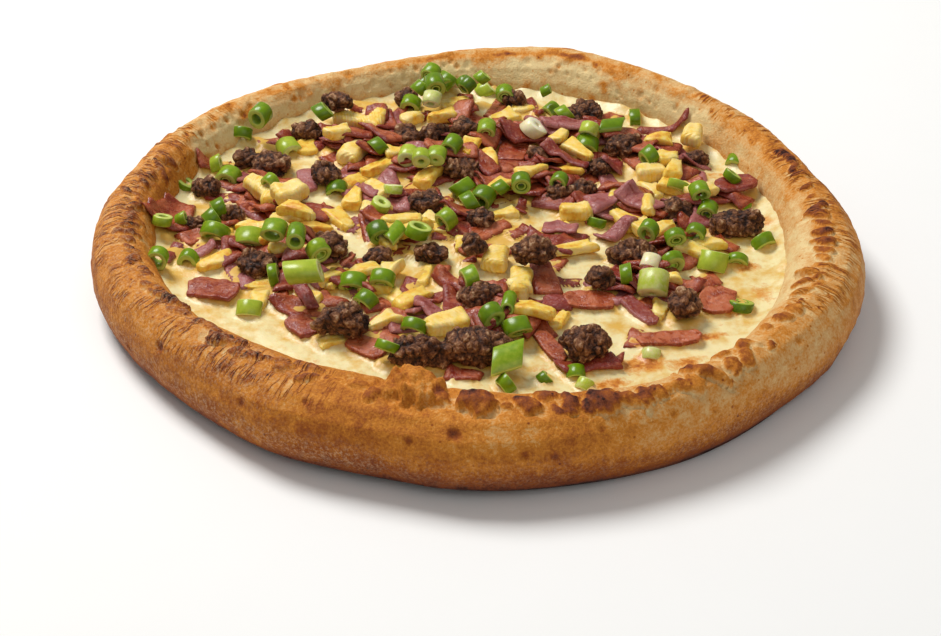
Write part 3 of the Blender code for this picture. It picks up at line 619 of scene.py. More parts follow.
# Folds of the rim's crest, seen in the photograph. The angle runs round the rim and the slant over it,
# from -90 at the foot of the outer wall over 0 and 90 at the crest to the cheese, in degrees. Width and
# length are in mm. A fold leans by so many mm round the rim for each mm outwards. It stands out by its
# lift in mm and is baked darker by the last value.
FOLDS = (
    (260.2, 112, 17, 24, 0, 5.6, -.08), (257.0, 96, 8, 10, 0, 1.8, .10), (264.6, 93, 5, 8, 0, 1.3, .26),
    (270.0, 88, 11, 12, 0, 2.8, .30), (270.0, 97, 10, 4, 0, 3.0, .48), (274.2, 84, 3, 5, 0, 1.0, .20),
    (277.3, 86, 6, 10, -.4, 1.8, .34), (280.4, 101, 7, 7, 0, 1.7, .30), (281.2, 76, 3, 5, -.5, 0.8, .36),
    (283.3, 85, 4.0, 13, 0, 1.8, .34), (285.7, 77, 3.4, 8, 0, 1.3, .36),
    (288.3, 82, 9, 12, -.2, 2.4, .38), (291.6, 80, 5, 8, -.3, 1.7, .28),
    (293.9, 78, 3.8, 10, 0, 1.6, .38), (295.9, 82, 4.2, 8, 0, 1.7, .38), (298.0, 84, 4.0, 6, 0, 1.0, .12),
    (299.9, 80, 4.4, 7, -.5, 1.6, .30), (304.3, 86, 4.6, 17, -.8, 2.4, .34),
    (301.7, 78, 5.0, 9, 0, 1.4, .10), (313.0, 100, 5, 12, .3, 1.7, .34), (315.6, 96, 4, 9, .3, 1.5, .28),
    (309.7, 105, 5, 8, 0, 1.4, .24), (309.0, 80, 4.5, 10, .2, 1.6, .30),
    (311.8, 78, 4.5, 9, .2, 1.6, .32), (317.5, 79, 3.2, 4, 0, 0.9, .32), (320.5, 96, 4, 8, 0, 1.4, .20),
    (323.6, 95, 3.6, 8, 0, 1.5, .24), (326.4, 95, 3.4, 7, 0, 1.3, .24), (329.2, 92, 3.6, 5, 0, 1.1, .34),
    (332.0, 100, 3.4, 9, 0, 1.2, .20), (334.6, 104, 3.4, 12, .1, 1.5, .28),
    (337.4, 106, 3.6, 19, .1, 2.2, .16), (340.6, 98, 3.2, 9, 0, 1.0, .18),
    (343.4, 97, 3.2, 12, .3, 1.4, .30), (346.0, 95, 3.4, 13, .2, 1.6, .36),
    (348.6, 93, 3.0, 12, -.2, 1.4, .38), (351.2, 92, 3.2, 13, .1, 1.5, .38),
    (353.8, 89, 3.2, 12, 0, 1.3, .36), (356.6, 95, 3.4, 12, .2, 1.5, .32),
    (359.6, 96, 3.2, 11, 0, 1.3, .26), (3.2, 95, 3.2, 9, 0, 1.1, .20), (6.6, 93, 3.2, 10, .1, 1.1, .22),
    (10.2, 92, 3.4, 10, 0, 1.1, .22), (13.8, 90, 3.4, 9, -.1, 1.0, .24), (17.0, 86, 4.0, 9, 0, 1.1, .34),
    (19.6, 84, 4.6, 8, 0, 1.1, .34), (163.0, 103, 3.0, 10, .1, 1.1, .20),
    (166.0, 106, 3.2, 11, 0, 1.2, .24), (169.0, 104, 3.0, 10, 0, 1.1, .22),
    (172.0, 98, 3.0, 10, -.1, 1.2, .22), (175.0, 84, 2.6, 8, 0, 1.1, .34),
    (177.2, 103, 3.0, 7, 0, 1.1, .28), (180.8, 107, 3.6, 10, 0, 1.3, .28),
    (183.6, 101, 3.0, 9, 0, 1.1, .24), (186.0, 97, 3.0, 10, 0, 1.2, .28),
    (188.6, 96, 3.2, 11, .1, 1.3, .30), (191.4, 98, 3.0, 9, .1, 1.1, .26),
    (194.2, 99, 3.2, 9, .2, 1.2, .28), (197.0, 99, 3.2, 8, .2, 1.2, .28),
    (200.6, 97, 3.2, 8, .3, 1.0, .20), (204.8, 88, 3.2, 7, .3, 1.1, .30),
    (208.0, 100, 3.6, 8, .6, 1.2, .24), (211.0, 101, 5.0, 11, .8, 1.8, .34),
    (215.7, 99, 4.0, 7, .5, 1.3, .26), (219.6, 100, 4.2, 8, .8, 1.4, .26),
    (222.0, 96, 4.4, 8, .8, 1.5, .28), (226.0, 93, 6.5, 12, 1.3, 2.2, .36),
    (228.6, 97, 4.0, 9, 1.2, 1.5, .24), (232.2, 91, 4.2, 9, 1.0, 1.6, .30),
    (234.8, 87, 4.2, 9, 1.0, 1.6, .30), (237.4, 94, 4.2, 9, 1.0, 1.5, .30),
    (239.8, 90, 3.8, 8, .8, 1.4, .26), (244.2, 82, 6.0, 8, .6, 1.2, .26),
    (243.0, 106, 8.0, 5, 0, 1.4, .20), (248.8, 104, 9.0, 7, 0, 1.3, -.08),
    (251.5, 88, 5.0, 9, .4, 1.3, .12), (254.5, 80, 4.0, 8, .2, 1.2, .18),
)
# Burst blisters of the wall and pits of the slopes: angle, slant, diameter and depth in mm, baking.
PITS = (
    (267.1, 44, 4.6, 0.8, .34), (261.1, 33, 3.0, 0.6, .26), (280.1, 22, 2.8, 0.5, .26),
    (276.1, 25, 3.0, 0.5, .22), (217.9, 44, 4.2, 1.0, .36), (209.3, -5, 3.0, 0.8, .32),
    (297.0, 52, 3.0, 0.5, .16), (303.5, 40, 2.6, 0.4, .14), (245.5, 52, 3.0, 0.5, .16),
    (286.5, 48, 2.6, 0.4, .14), (152.8, 146, 4.0, 0.8, .30), (155.5, 140, 3.4, 0.8, .30),
    (149.0, 138, 3.2, 0.6, .24), (236.0, 30, 3.0, 0.5, .16), (322.0, 60, 3.4, 0.5, .18),
)
# Browned patches of the slopes and crest: angle, slant, width, length in mm, baking.
SCORCHES = (
    (88.5, 112, 12, 7, .24), (84.0, 100, 16, 4, .40), (62.0, 112, 22, 12, .22), (56.0, 122, 10, 8, .18),
    (118.0, 110, 16, 8, .20), (126.0, 118, 12, 6, .16), (98.0, 96, 40, 4, .22), (70.0, 97, 40, 4, .22),
    (140.0, 118, 18, 8, .16), (47.0, 108, 12, 7, .14), (18.5, 88, 13, 9, .12), (352.0, 92, 26, 14, .10),
    (186.0, 104, 40, 10, .10), (258.0, 70, 24, 8, .06), (288.0, 84, 50, 10, .06),
    (165.0, 118, 18, 8, .12),
)


def rim_measure():
    """The rim's inner and outer walls and its surface round the core, read from the CAD crust."""
    tree = cad_tree("crust")
    turns = np.arange(RIM_TURNS) * math.tau / RIM_TURNS
    slants = np.radians(np.linspace(FIRST_SLANT, LAST_SLANT, SECTION_POINTS))
    inside = 0.09
    outside = 0.25
    toe = np.empty(RIM_TURNS)
    outer = np.empty(RIM_TURNS)
    ways = [Vector((math.cos(turn), math.sin(turn), 0)) for turn in turns]
    for k, way in enumerate(ways):
        toe[k] = inside + tree.ray_cast(way * inside + Vector((0, 0, TOE_LEVEL)), way)[3]
        outer[k] = outside - tree.ray_cast(way * outside + Vector((0, 0, CORE_LEVEL)), -way)[3]
    toe = smooth_round(toe)
    outer = smooth_round(outer)
    core = (toe + outer) / 2
    reach = np.empty((RIM_TURNS, SECTION_POINTS))
    for k, way in enumerate(ways):
        start = way * core[k] + Vector((0, 0, CORE_LEVEL))
        for j, slant in enumerate(slants):
            slope = way * math.cos(slant) + Vector((0, 0, math.sin(slant)))
            reach[k, j] = tree.ray_cast(start, slope)[3]
    return turns, slants, toe, outer, core, smooth_round(reach)


def over_rim(turns, slants, reach, place, size, lean=0.0):
    """How far each point of the rim lies from a place on it, in halves of a size, and its column span."""
    around = (turns - math.radians(place[0]) + math.pi) % math.tau - math.pi
    near = np.abs(around) < 26 * MM / RIM_RADIUS
    outward = (math.radians(place[1]) - slants[None, :]) * reach[near]
    side = (around[near, None] * RIM_RADIUS + lean * outward) / (size[0] * MM / 2)
    return near, side, outward / (size[1] * MM / 2)


def baked_folds(turns, slants, reach, ruffle, rng):
    """How far the crest's folds and pits stand out, and how much darker or paler they are."""
    lift = np.zeros_like(reach)
    sink = np.zeros_like(reach)
    brown = np.zeros_like(reach)
    pale = np.zeros_like(reach)
    rows = list(FOLDS)
    for angle in np.arange(24.0, 160.0, 3.1):
        rows.append((angle + rng.uniform(-1, 1), rng.uniform(88, 112), rng.uniform(3, 6),
                     rng.uniform(6, 13), rng.uniform(-.6, .6), rng.uniform(0.2, 0.8),
                     rng.uniform(-.05, .12)))
    for angle, slant, width, length, lean, height, dark in rows:
        # Away from the front, where each fold can be told apart, they vary more.
        if not 252 < angle < 312:
            angle += rng.uniform(-0.9, 0.9)
            slant += rng.uniform(-5, 5)
            width *= rng.uniform(0.7, 1.4)
            length *= rng.uniform(0.6, 1.2)
            lean += rng.uniform(-0.9, 0.9)
            height *= rng.uniform(0.6, 1.2)
            dark *= rng.uniform(0.6, 1.35)
        size = (width * FOLD_SPREAD, length)
        near, side, run = over_rim(turns, slants, reach, (angle, slant), size, lean)
        # The noise is shifted round the rim to make others of it that don't agree with it.
        side = side + 0.40 * ruffle[near]
        run = run + 0.40 * np.roll(ruffle, 37, axis=0)[near]
        away = side ** 2 + run ** 2
        body = np.clip(1 - away, 0, 1) ** (0.9 if height > 4 else 0.55)
        crease = np.exp(-((np.sqrt(away) - 1.12) / 0.15) ** 2) * between(height, 0.6, 1.2)
        lift[near] = np.maximum(lift[near], height * MM * body)
        sink[near] = np.maximum(sink[near], 0.36 * height * MM * crease)
        mottled = (1 + 0.9 * np.roll(ruffle, 90, axis=0)[near]) * (0.85 - 0.25 * run)
        brown[near] = np.maximum(brown[near], 1.05 * dark * between(body, 0.1, 0.7) * mottled)
        pale[near] = np.maximum(pale[near], (0.06 + 0.45 * max(dark, 0)) * crease)
    # A crease shows where no fold lies over it.
    free = 1 - between(lift, 0.1 * MM, 0.7 * MM)
    lift = lift - free * np.minimum(sink, 1.1 * MM)
    bake = brown - free * pale
    pits = list(PITS)
    for _ in range(SPRINKLED_PITS):
        pits.append((rng.uniform(36, 156), rng.uniform(96, 146), rng.uniform(1.6, 4.0),
                     rng.uniform(0.3, 0.8), rng.choice((-.08, .04, .14, .26))))
    for angle, slant, size, depth, dark in pits:
        near, side, run = over_rim(turns, slants, reach, (angle, slant), (size, size))
        hollow = np.exp(-(side ** 2 + run ** 2) ** 1.5)
        rim = np.exp(-((np.sqrt(side ** 2 + run ** 2) - 1.3) / 0.3) ** 2)
        lift[near] -= depth * MM * (hollow - 0.25 * rim)
        bake[near] += dark * hollow
    for angle, slant, width, length, dark in SCORCHES:
        near, side, run = over_rim(turns, slants, reach, (angle, slant), (width, length))
        bake[near] += dark * np.exp(-(side ** 2 + run ** 2)) * (1 + 0.9 * ruffle[near])
    return lift, bake


def make_crust(settings):
    """The rim and base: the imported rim's shape, smoothed, with folds, wrinkles, blisters and pits."""
    rng = random.Random(SEED)
    turns, slants, toe, outer, core, reach = rim_measure()
    shape = reach.shape
    radius = core[:, None] + reach * np.cos(slants)
    height = CORE_LEVEL + reach * np.sin(slants)
    way = np.stack([np.cos(turns), np.sin(turns)], axis=-1)
    points = np.empty(shape + (3,))
    points[:, :, :2] = radius[:, :, None] * way[:, None, :]
    points[:, :, 2] = height
    flat = points.reshape(-1, 3)
    slow = waves(flat, 17 * MM, 3).reshape(shape)
    middling = waves(flat, 6 * MM, 9).reshape(shape)
    ruffle = waves(flat, 2.6 * MM, 14).reshape(shape)
    # Fine wrinkles run across the crest, so their noise is stretched three times along the section.
    stretched = np.empty(shape + (3,))
    stretched[:, :, :2] = way[:, None, :] * RIM_RADIUS
    stretched[:, :, 2] = (slants * 3 * MM)[None, :]
    wrinkle = waves(stretched.reshape(-1, 3), 2.6 * MM, 21).reshape(shape)
    back = sector(turns, 42, 150, 10)[:, None]
    right = sector(turns, -28, 40, 8)[:, None]
    left = sector(turns, 150, 240, 12)[:, None]
    free = between(height, 1 * MM, 7 * MM)
    slope = np.broadcast_to(slants[None, :], shape)
    top = between(np.sin(slope), 0.25, 0.85)
    inner = between(slope, math.radians(96), math.radians(126))
    folds, fold_bake = baked_folds(turns, slants, reach, ruffle, rng)
    crest = between(np.sin(slope), 0.55, 0.9) * (1 - between(slope, math.radians(100), math.radians(120)))
    ruffled = crest * (0.12 + 0.95 * left + 0.75 * right) * between(slow + middling, -0.6, 0.4)
    lift = free * MM * (0.55 * slow + 0.32 * middling + 0.12 * ruffle * (1 + back * inner))
    lift += free * folds * settings.fold_height + 0.45 * MM * wrinkle * ruffled
    lift += 0.22 * ruffle * np.clip(folds, 0, 2 * MM)
    bake = 0.49 + 0.07 * slow + 0.07 * middling
    # The lowest 10 mm of the wall is made darker: painted shade where the rim meets the floor.
    bake += 0.34 * (1 - between(height, 0.0, 10 * MM)) - 0.13 * sector(turns, -66, -8, 10)[:, None]
    bake += 0.05 * sector(turns, 195, 250, 14)[:, None]
    bake -= 0.05 * top - 0.10 * np.clip(wrinkle, -0.5, 1) * ruffled
    # The wall is darker below 20 mm, fading upwards and weaker on the left: partly browned dough, partly
    # painted shade low on the wall.
    bake += 0.24 * (1 - between(height, 10 * MM, 20 * MM)) * (1 - 0.7 * left - 0.3 * right)
    bake += fold_bake * (1 + 0.25 * right)
    pale = inner * (0.06 + 0.22 * back + 0.16 * right)
    bake -= pale + back * top * 0.20
    bake += back * between(middling + slow, 0.25, 0.8) * 0.20
    bake = np.clip(bake, 0.02, 1.0)
    wall = 1 - top
    low_wall = between(height, 6 * MM, 11 * MM) * (1 - between(height, 15 * MM, 24 * MM))
    flour = 0.04 + 0.26 * low_wall
    flour += wall * low_wall * 0.35 * sector(turns, 160, 250, 14)[:, None]
    flour += wall * between(height, 5 * MM, 12 * MM) * 0.20 * sector(turns, -55, 25, 15)[:, None]
    flour += top * 0.50 * sector(turns, 165, 235, 14)[:, None] * (1 - inner)
    reach = reach + lift
    radius = core[:, None] + reach * np.cos(slants)
    height = np.maximum(CORE_LEVEL + reach * np.sin(slants), 0.0)
    height[:, -1] = 0.0
    # Rows of the sheet: middle of the base, its edge under the cheese, the section, middle of the foot.
    centre = np.zeros((RIM_TURNS, 1))
    radii = np.hstack([centre, toe[:, None], radius, centre])
    heights = np.hstack([centre + FLOOR_LEVEL, centre + FLOOR_LEVEL, height, centre])
    bake_and_foot_shade = np.hstack([centre + 0.2, centre + 0.2, bake, centre + 0.6])
    flours = np.hstack([centre, centre, flour, centre])
    ruffles = np.hstack([centre, centre, ruffled, centre])
    across = np.hstack([centre, centre, np.broadcast_to(stretched[:, :, 2], shape), centre])
    bm, turn, row = ring_sheet(RIM_TURNS, SECTION_POINTS + 2)
    write_layer(bm, "bake", bake_and_foot_shade[turn, row])
    write_layer(bm, "flour", flours[turn, row])
    write_layer(bm, "ruffled", ruffles[turn, row])
    over_rim_layer = bm.verts.layers.float_vector.new("over_rim")
    for vertex, k, j in zip(bm.verts, turn, row):
        vertex[over_rim_layer] = (way[k, 0] * RIM_RADIUS, way[k, 1] * RIM_RADIUS, across[k, j])
    close_ring(bm, radii[turn, row], turns[turn], heights[turn, row])
    finished(bm, "baked_crust", baked_dough(settings), ["crust"])
    return toe


# Browned patches of the cheese: x, y, length, width in mm, turn in degrees, amount.
TOASTED = (
    (65, -97, 20, 12, 10, 1.0), (83, -96, 16, 10, 20, 0.9), (52, -111, 18, 7, 15, 0.9),
    (90, -78, 22, 7, 10, 1.0), (66, -84, 12, 6, 0, 0.9), (40, -104, 10, 6, 0, 0.7),
    (25, -100, 14, 7, 0, 0.5), (-88, 95, 12, 7, 0, 0.6), (-70, 71, 12, 8, 0, 0.6),
    (110, 54, 12, 8, 0, 0.7), (126, 12, 9, 12, 0, 0.7), (115, -25, 12, 8, 20, 0.8),
    (120, -45, 12, 16, 0, 0.6), (108, 6, 12, 7, 0, 0.6), (-100, -36, 14, 8, 0, 0.4),
    (-62, -96, 14, 6, -30, 0.3), (104, -60, 10, 8, 0, 0.7), (121, 30, 8, 12, 0, 0.7),
)
# Places where juice and fat stained the cheese yellow, as above.
STAINED = (
    (-124, -30, 14, 22, 30, 0.9), (-101, -46, 20, 12, -40, 0.7), (-80, -64, 20, 8, -38, 0.6),
    (-120, 20, 16, 30, 0, 0.8), (-92, 78, 34, 16, 40, 0.8), (-48, 118, 40, 12, 20, 0.6),
    (30, 118, 50, 12, -6, 0.5), (88, -60, 26, 14, 40, 0.6), (112, -20, 12, 30, 0, 0.5),
    (112, 38, 14, 30, 0, 0.8), (100, -52, 30, 10, 30, 0.7), (60, -70, 20, 10, 0, 0.7),
    (10, 0, 40, 26, 20, 0.9), (30, 50, 40, 24, 0, 0.8), (-50, 70, 30, 20, 20, 0.9),
    (-20, -60, 30, 14, 20, 0.7), (70, 20, 26, 20, 0, 0.6), (-80, 10, 20, 20, 0, 0.6),
)


def make_cheese(settings, relief, toe):
    """One melted layer that clings to the toppings and to the rim, browned in patches."""
    bm, turn, row = ring_sheet(CHEESE_TURNS, CHEESE_RINGS + 2)
    angle = turn * math.tau / CHEESE_TURNS
    share = np.clip(row / CHEESE_RINGS, 0, 1)
    share[row > CHEESE_RINGS + 1] = 0
    edge = np.interp(angle, np.arange(RIM_TURNS + 1) * math.tau / RIM_TURNS, np.append(toe, toe[0]))
    ragged = waves(np.stack([np.cos(angle), np.sin(angle), 0 * angle], axis=-1) * 0.13, 9 * MM, 31)
    radius = share * (edge + (2.4 + 2.6 * ragged) * MM)
    x = radius * np.cos(angle)
    y = radius * np.sin(angle)
    plan = np.stack([x, y, np.zeros_like(x)], axis=-1)
    cling = relief.near_toppings(3 * MM)[relief.cell(x, y)]
    climb = between(radius, edge - 6 * MM, edge + 2 * MM)
    middling = waves(plan, 7 * MM, 5)
    level = CHEESE_LEVEL + settings.wave * waves(plan, 19 * MM, 2) + 0.40 * MM * middling
    level += 0.20 * MM * waves(plan, 2.6 * MM, 8) + settings.cling * cling
    level += (2.2 + 2.4 * ragged) * MM * climb
    under = row > CHEESE_RINGS
    level[under] = FLOOR_LEVEL + 0.2 * MM
    write_layer(bm, "toast", bell(x, y, TOASTED) + 0.10 * middling)
    juice = relief.near_toppings(6 * MM)[relief.cell(x, y)] + 0.5 * waves(plan, 24 * MM, 40)
    write_layer(bm, "juice", juice + bell(x, y, STAINED))
    close_ring(bm, radius, angle, level)
    finished(bm, "melted_cheese", melted_mozzarella(settings), ["cheese"])


# Ham under the other toppings, in plan: x, y, length, width in mm, turn in degrees, and a tone from
# red (0) to purple (1).
HAM_LOW = (
    (-52, 110, 16, 10, 5, .2), (-37, 103, 14, 8, 70, .1), (-95, 76, 14, 8, 15, .3),
    (-118, 52, 16, 8, 20, .2), (-55, 38, 12, 10, 70, .9), (-39, 44, 12, 9, 80, .9),
    (-53, 1, 13, 11, 40, .7), (-29, 33, 12, 8, 60, .1), (26, -42, 17, 10, 75, .1),
    (101, 42, 12, 7, 85, .9), (88, -25, 14, 7, 80, .1), (105, -14, 9, 7, 60, .0),
    (-5, -111, 15, 10, -10, .2), (50, -104, 15, 7, 10, .3), (-28, -49, 14, 8, 75, .6),
    (-16, -57, 13, 10, 30, .4), (28, 110, 19, 7, -70, .4), (15, 100, 20, 6, 85, .5),
    (-131, 6, 26, 20, 80, .15), (-129, -22, 15, 7, 70, .6), (20, 17, 14, 7, 80, .4),
    (78, 31, 12, 8, 0, .3), (-31, -20, 10, 8, 70, .3), (-55, -28, 10, 9, 45, .1),
    (-112, -17, 15, 7, 10, .5), (-5, 121, 8, 6, 0, .3), (-14, 22, 9, 8, 30, .1),
    (-14, -37, 12, 6, 80, .1), (-4, -28, 8, 6, 0, .2), (38, -45, 12, 6, 0, .3), (18, -5, 9, 8, 30, .1),
    (-80, -56, 12, 8, 80, .1), (-66, 60, 10, 8, 40, .2), (-116, -22, 12, 7, 30, .9),
    (-40, -62, 15, 11, 20, .2), (-60, -60, 14, 10, -30, .1), (30, -70, 14, 10, 30, .2),
    (0, 40, 14, 9, 10, .2), (50, 40, 14, 10, 30, .3), (70, 0, 14, 9, 60, .2), (-85, -5, 12, 9, 0, .4),
    (95, -45, 14, 12, 40, .1), (-25, 100, 12, 8, 30, .2), (60, 60, 12, 9, 0, .3),
    (63, -86, 13, 9, 80, .1), (33, -62, 13, 12, 10, .6), (28, -43, 20, 13, 100, .05),
    (25, -80, 16, 9, 120, .2), (43, -106, 24, 10, 8, .4), (87, -28, 15, 10, 110, .1),
    (106, -18, 10, 8, -30, .05),
)
# Ham strips on top, as above.
HAM_HIGH = (
    (62, 50, 13, 10, 80, .6), (36, -1, 17, 9, -27, .9), (60, -8, 18, 9, 36, .9), (41, 65, 24, 7, -33, .5),
    (87, 86, 24, 5, -5, .4), (-70, -55, 19, 6, -65, .6),
)
# Pineapple: x, y, length, width, turn, tone from pale (0) to browned (1).
PINEAPPLE_BITS = (
    (-65, 84, 10, 8, 20, .2), (-109, -31, 14, 9, 30, .4), (-79, -21, 16, 7, 0, .4),
    (-90, -50, 11, 8, 10, .5), (-59, -44, 11, 9, 70, .4), (-22, -42, 12, 8, 75, .3),
    (-57, -91, 12, 7, 20, .3), (33, -76, 10, 7, 60, .4), (74, -68, 10, 8, 70, .2),
    (-44, 31, 13, 9, -50, .3), (-22, 43, 13, 9, 60, .5), (-3, 69, 13, 8, 80, .5), (6, 60, 13, 8, -75, .4),
    (25, 48, 13, 8, 30, .3), (40, 48, 12, 8, 10, .5), (75, 17, 13, 6, 85, .3), (90, 50, 12, 8, 80, .3),
    (84, 77, 11, 8, 0, .5), (10, 8, 12, 8, 20, .3), (40, -20, 16, 9, 20, .3), (22, 107, 9, 8, 0, .1),
    (39, 80, 10, 8, 60, .3), (57, 85, 11, 7, 70, .5), (-30, 98, 10, 7, 30, .2), (-16, 100, 12, 6, 20, .4),
    (-37, 65, 8, 7, 0, .4), (-103, 55, 6, 6, 0, .2), (87, 60, 8, 8, 0, .3), (-61, -43, 9, 7, 40, .4),
    (17, -48, 9, 8, 0, .1), (-7, -18, 9, 7, 80, .4), (81, -43, 6, 6, 0, .2), (-38, -76, 11, 9, 40, .1),
)
# Small beef crumbles: x, y, length, width.
BEEF_BITS = ((-121, 2, 11, 8), (-107, 10, 11, 9), (56, 50, 12, 11))
# Spring onion: x, y, outer diameter, length, turn and tilt in degrees, tone from white to deep green.
ONION = (
    (-73, 105, 11, 6, 20, 70, .7), (-102, 101, 10, 7, 60, 80, .6), (-86, 68, 11, 8, 120, 80, .3),
    (-45, 71, 10, 6, 30, 75, .8), (-109, 83, 10, 5, 80, 40, .7), (-20, 133, 10, 8, 100, 80, .8),
    (5, 128, 12, 7, 10, 60, .3), (14, 124, 9, 6, 90, 80, .6), (-5, 134, 8, 6, 120, 70, .8),
    (36, 105, 10, 6, 40, 70, .5), (75, 98, 11, 5, 0, 85, .7), (79, 61, 10, 6, 30, 60, .7),
    (118, 55, 9, 6, 70, 80, .7), (115, 42, 9, 4, 20, 25, .7), (90, 34, 10, 4, 60, 30, .4),
    (99, 29, 9, 7, 100, 80, .6), (101, 12, 9, 7, 75, 85, .6), (-62, 31, 10, 7, 90, 80, .8),
    (-111, 42, 11, 7, 70, 80, .6), (-92, 37, 8, 5, 50, 70, .5), (-42, 17, 11, 4, 10, 25, .4),
    (-37, 31, 9, 4, 80, 40, .3), (-6, 33, 12, 6, 140, 60, .7), (3, 24, 11, 7, 60, 75, .8),
    (-3, 20, 11, 6, 20, 70, .7), (-13, 5, 10, 6, 40, 70, .5), (-113, 14, 10, 6, 20, 70, .7),
    (-112, -6, 13, 6, 70, 60, .6), (-97, -11, 13, 9, 85, 75, .4), (-87, -4, 11, 8, 80, 80, .5),
    (-77, -9, 8, 9, 88, 85, .6), (-67, -21, 10, 6, 120, 70, .5), (-42, -6, 10, 7, 110, 75, .8),
    (-72, -38, 12, 14, 5, 88, .35), (-84, -41, 11, 4, 5, 85, .7), (-51, -46, 12, 7, 85, 70, .6),
    (-39, -44, 11, 6, 80, 65, .6), (-45, -60, 10, 6, 50, 70, .7), (-92, -66, 11, 7, 85, 60, .4),
    (-121, -29, 9, 5, 80, 80, .6), (-134, -27, 9, 5, 80, 80, .6), (-25, -79, 11, 5, 70, 60, .7),
    (-35, -93, 10, 4, 60, 50, .6), (-25, -5, 11, 5, 30, 30, .6), (-3, -42, 11, 6, 20, 70, .5),
    (37, 38, 8, 5, 70, 80, .7), (20, 37, 9, 6, 90, 80, .7), (52, 2, 9, 4, 60, 30, .7),
    (117, 17, 8, 4, 80, 40, .6), (74, -5, 9, 5, 60, 70, .7), (85, -10, 9, 5, 100, 80, .7),
    (94, -7, 9, 5, 70, 80, .7), (73, -47, 13, 10, 80, 60, .3), (82, -31, 11, 4, 110, 60, .6),
    (62, -40, 10, 5, 0, 70, .6), (99, -30, 13, 9, 70, 50, .4), (109, -30, 10, 4, 80, 70, .6),
    (107, -64, 11, 4, 70, 40, .8), (122, -15, 11, 5, 120, 50, .7), (6, -71, 10, 6, 120, 70, .7),
    (16, -79, 12, 7, 110, 70, .7), (68, -99, 8, 5, 80, 60, .2), (26, -115, 7, 4, 20, 60, .8),
    (38, -111, 8, 6, 90, 75, .7), (41, -119, 7, 5, 60, 60, .3), (11, -119, 9, 5, 30, 50, .6),
    (27, 88, 11, 6, 0, 50, .0), (5, 88, 9, 8, 85, 80, .5), (-31, 112, 10, 7, 80, 80, .6),
    (51, 71, 11, 8, 80, 75, .7), (-22, 146, 9, 6, 60, 70, .5), (-15, 137, 11, 8, 40, 60, .7),
    (-27, 130, 9, 6, 30, 60, .6), (-21, 118, 9, 7, 80, 70, .2), (-4, 133, 8, 6, 40, 60, .8),
    (3, 141, 8, 5, 20, 60, .6), (34, 127, 6, 5, 0, 60, .6), (-31, 62, 9, 7, 80, 80, .3),
    (-25, 60, 9, 6, 90, 80, .4), (-18, 62, 9, 7, 80, 80, .4), (-11, 72, 9, 7, 60, 70, .6),
    (-118, 54, 8, 5, 0, 60, .4), (-115, 5, 9, 6, 30, 60, .7), (-128, 5, 6, 5, 0, 60, .5),
    (-136, 4, 9, 4, 60, 30, .5), (-130, 35, 11, 4, 10, 20, .6), (42, 103, 9, 6, 20, 70, .6),
    (53, 87, 9, 6, 70, 60, .2), (11, 33, 8, 6, 30, 70, .6), (73, -30, 8, 7, 70, 70, .1),
    (13, -62, 6, 9, 80, 85, .6),
)

# Green that is slit open: x, y, length, width, turn, tilt towards the viewer, tone.
SLIT_ONION = (
    (12, -101, 13, 12, 20, 22, .50), (-35, -6, 11, 7, 60, 10, .55), (64, 92, 11, 8, 10, 10, .7),
    (-20, 136, 11, 8, -20, 10, .75),
)
SLIT_THICKNESS = 2.0 * MM

# Bare cheese between the toppings, in plan: x, y and radius in mm.
BARE = (
    (39, -38, 8), (-13, -17, 5), (10, 15, 4), (49, -4, 5), (53, -25, 8), (-49, -20, 4), (-80, 53, 8),
    (-67, 30, 6), (-88, 97, 9), (2, -100, 12), (60, -95, 14), (95, -75, 16), (-60, -90, 9), (-25, 8, 4),
    (17, -15, 4), (24, -4, 3), (-32, -32, 4), (-54, 11, 3), (15, -36, 6), (-6, -32, 4),
)
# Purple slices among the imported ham, in plan.
PURPLE = (
    (-76, 39, 1.0), (60, -8, 0.9), (36, -1, 0.9), (66, -68, 0.6), (115, 29, 0.5), (-55, 38, 0.8),
)


def read_back(point):
    """The plan reading, in millimetres, of a point of the model."""
    share = (EYE.z - point.z) / (EYE.z - READ_LEVEL)
    x = EYE.x + (point.x - EYE.x) / share - READ_SHIFT.x
    y = EYE.y + (point.y - EYE.y) / share - READ_SHIFT.y
    return x / MM, y / MM


def node_places(kind, gap):
    """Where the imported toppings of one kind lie, with how far in mm others keep from their middles."""
    places = []
    for name in node_names(kind):
        low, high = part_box(name)
        half = 0.45 * max(high.x - low.x, high.y - low.y) / MM
        places.append(read_back((low + high) / 2) + (half + gap,))
    return places


def open_places(pitch, reach, kept_off, rng):
    """Places on a jittered grid in the topped middle that keep off the rim and what already lies there."""
    count = int(reach / pitch) + 1
    places = []
    for row in range(-count, count + 1):
        for column in range(-count, count + 1):
            x = (column + 0.5 * (row % 2) + rng.uniform(-0.3, 0.3)) * pitch
            y = (0.87 * row + rng.uniform(-0.3, 0.3)) * pitch
            x += TOPPED_MIDDLE[0]
            y += TOPPED_MIDDLE[1]
            out = math.hypot(x - TOPPED_MIDDLE[0], y - TOPPED_MIDDLE[1])
            kept = rng.random() < 1 - 0.75 * max(0.0, out - THIN_FROM) / (reach - THIN_FROM)
            kept = kept and out < reach and math.hypot(x, y + LIE_BACK) < CLEAR_OF_RIM
            if kept and all(math.hypot(x - px, y - py) > gap for px, py, gap in kept_off):
                places.append((x, y))
    return places


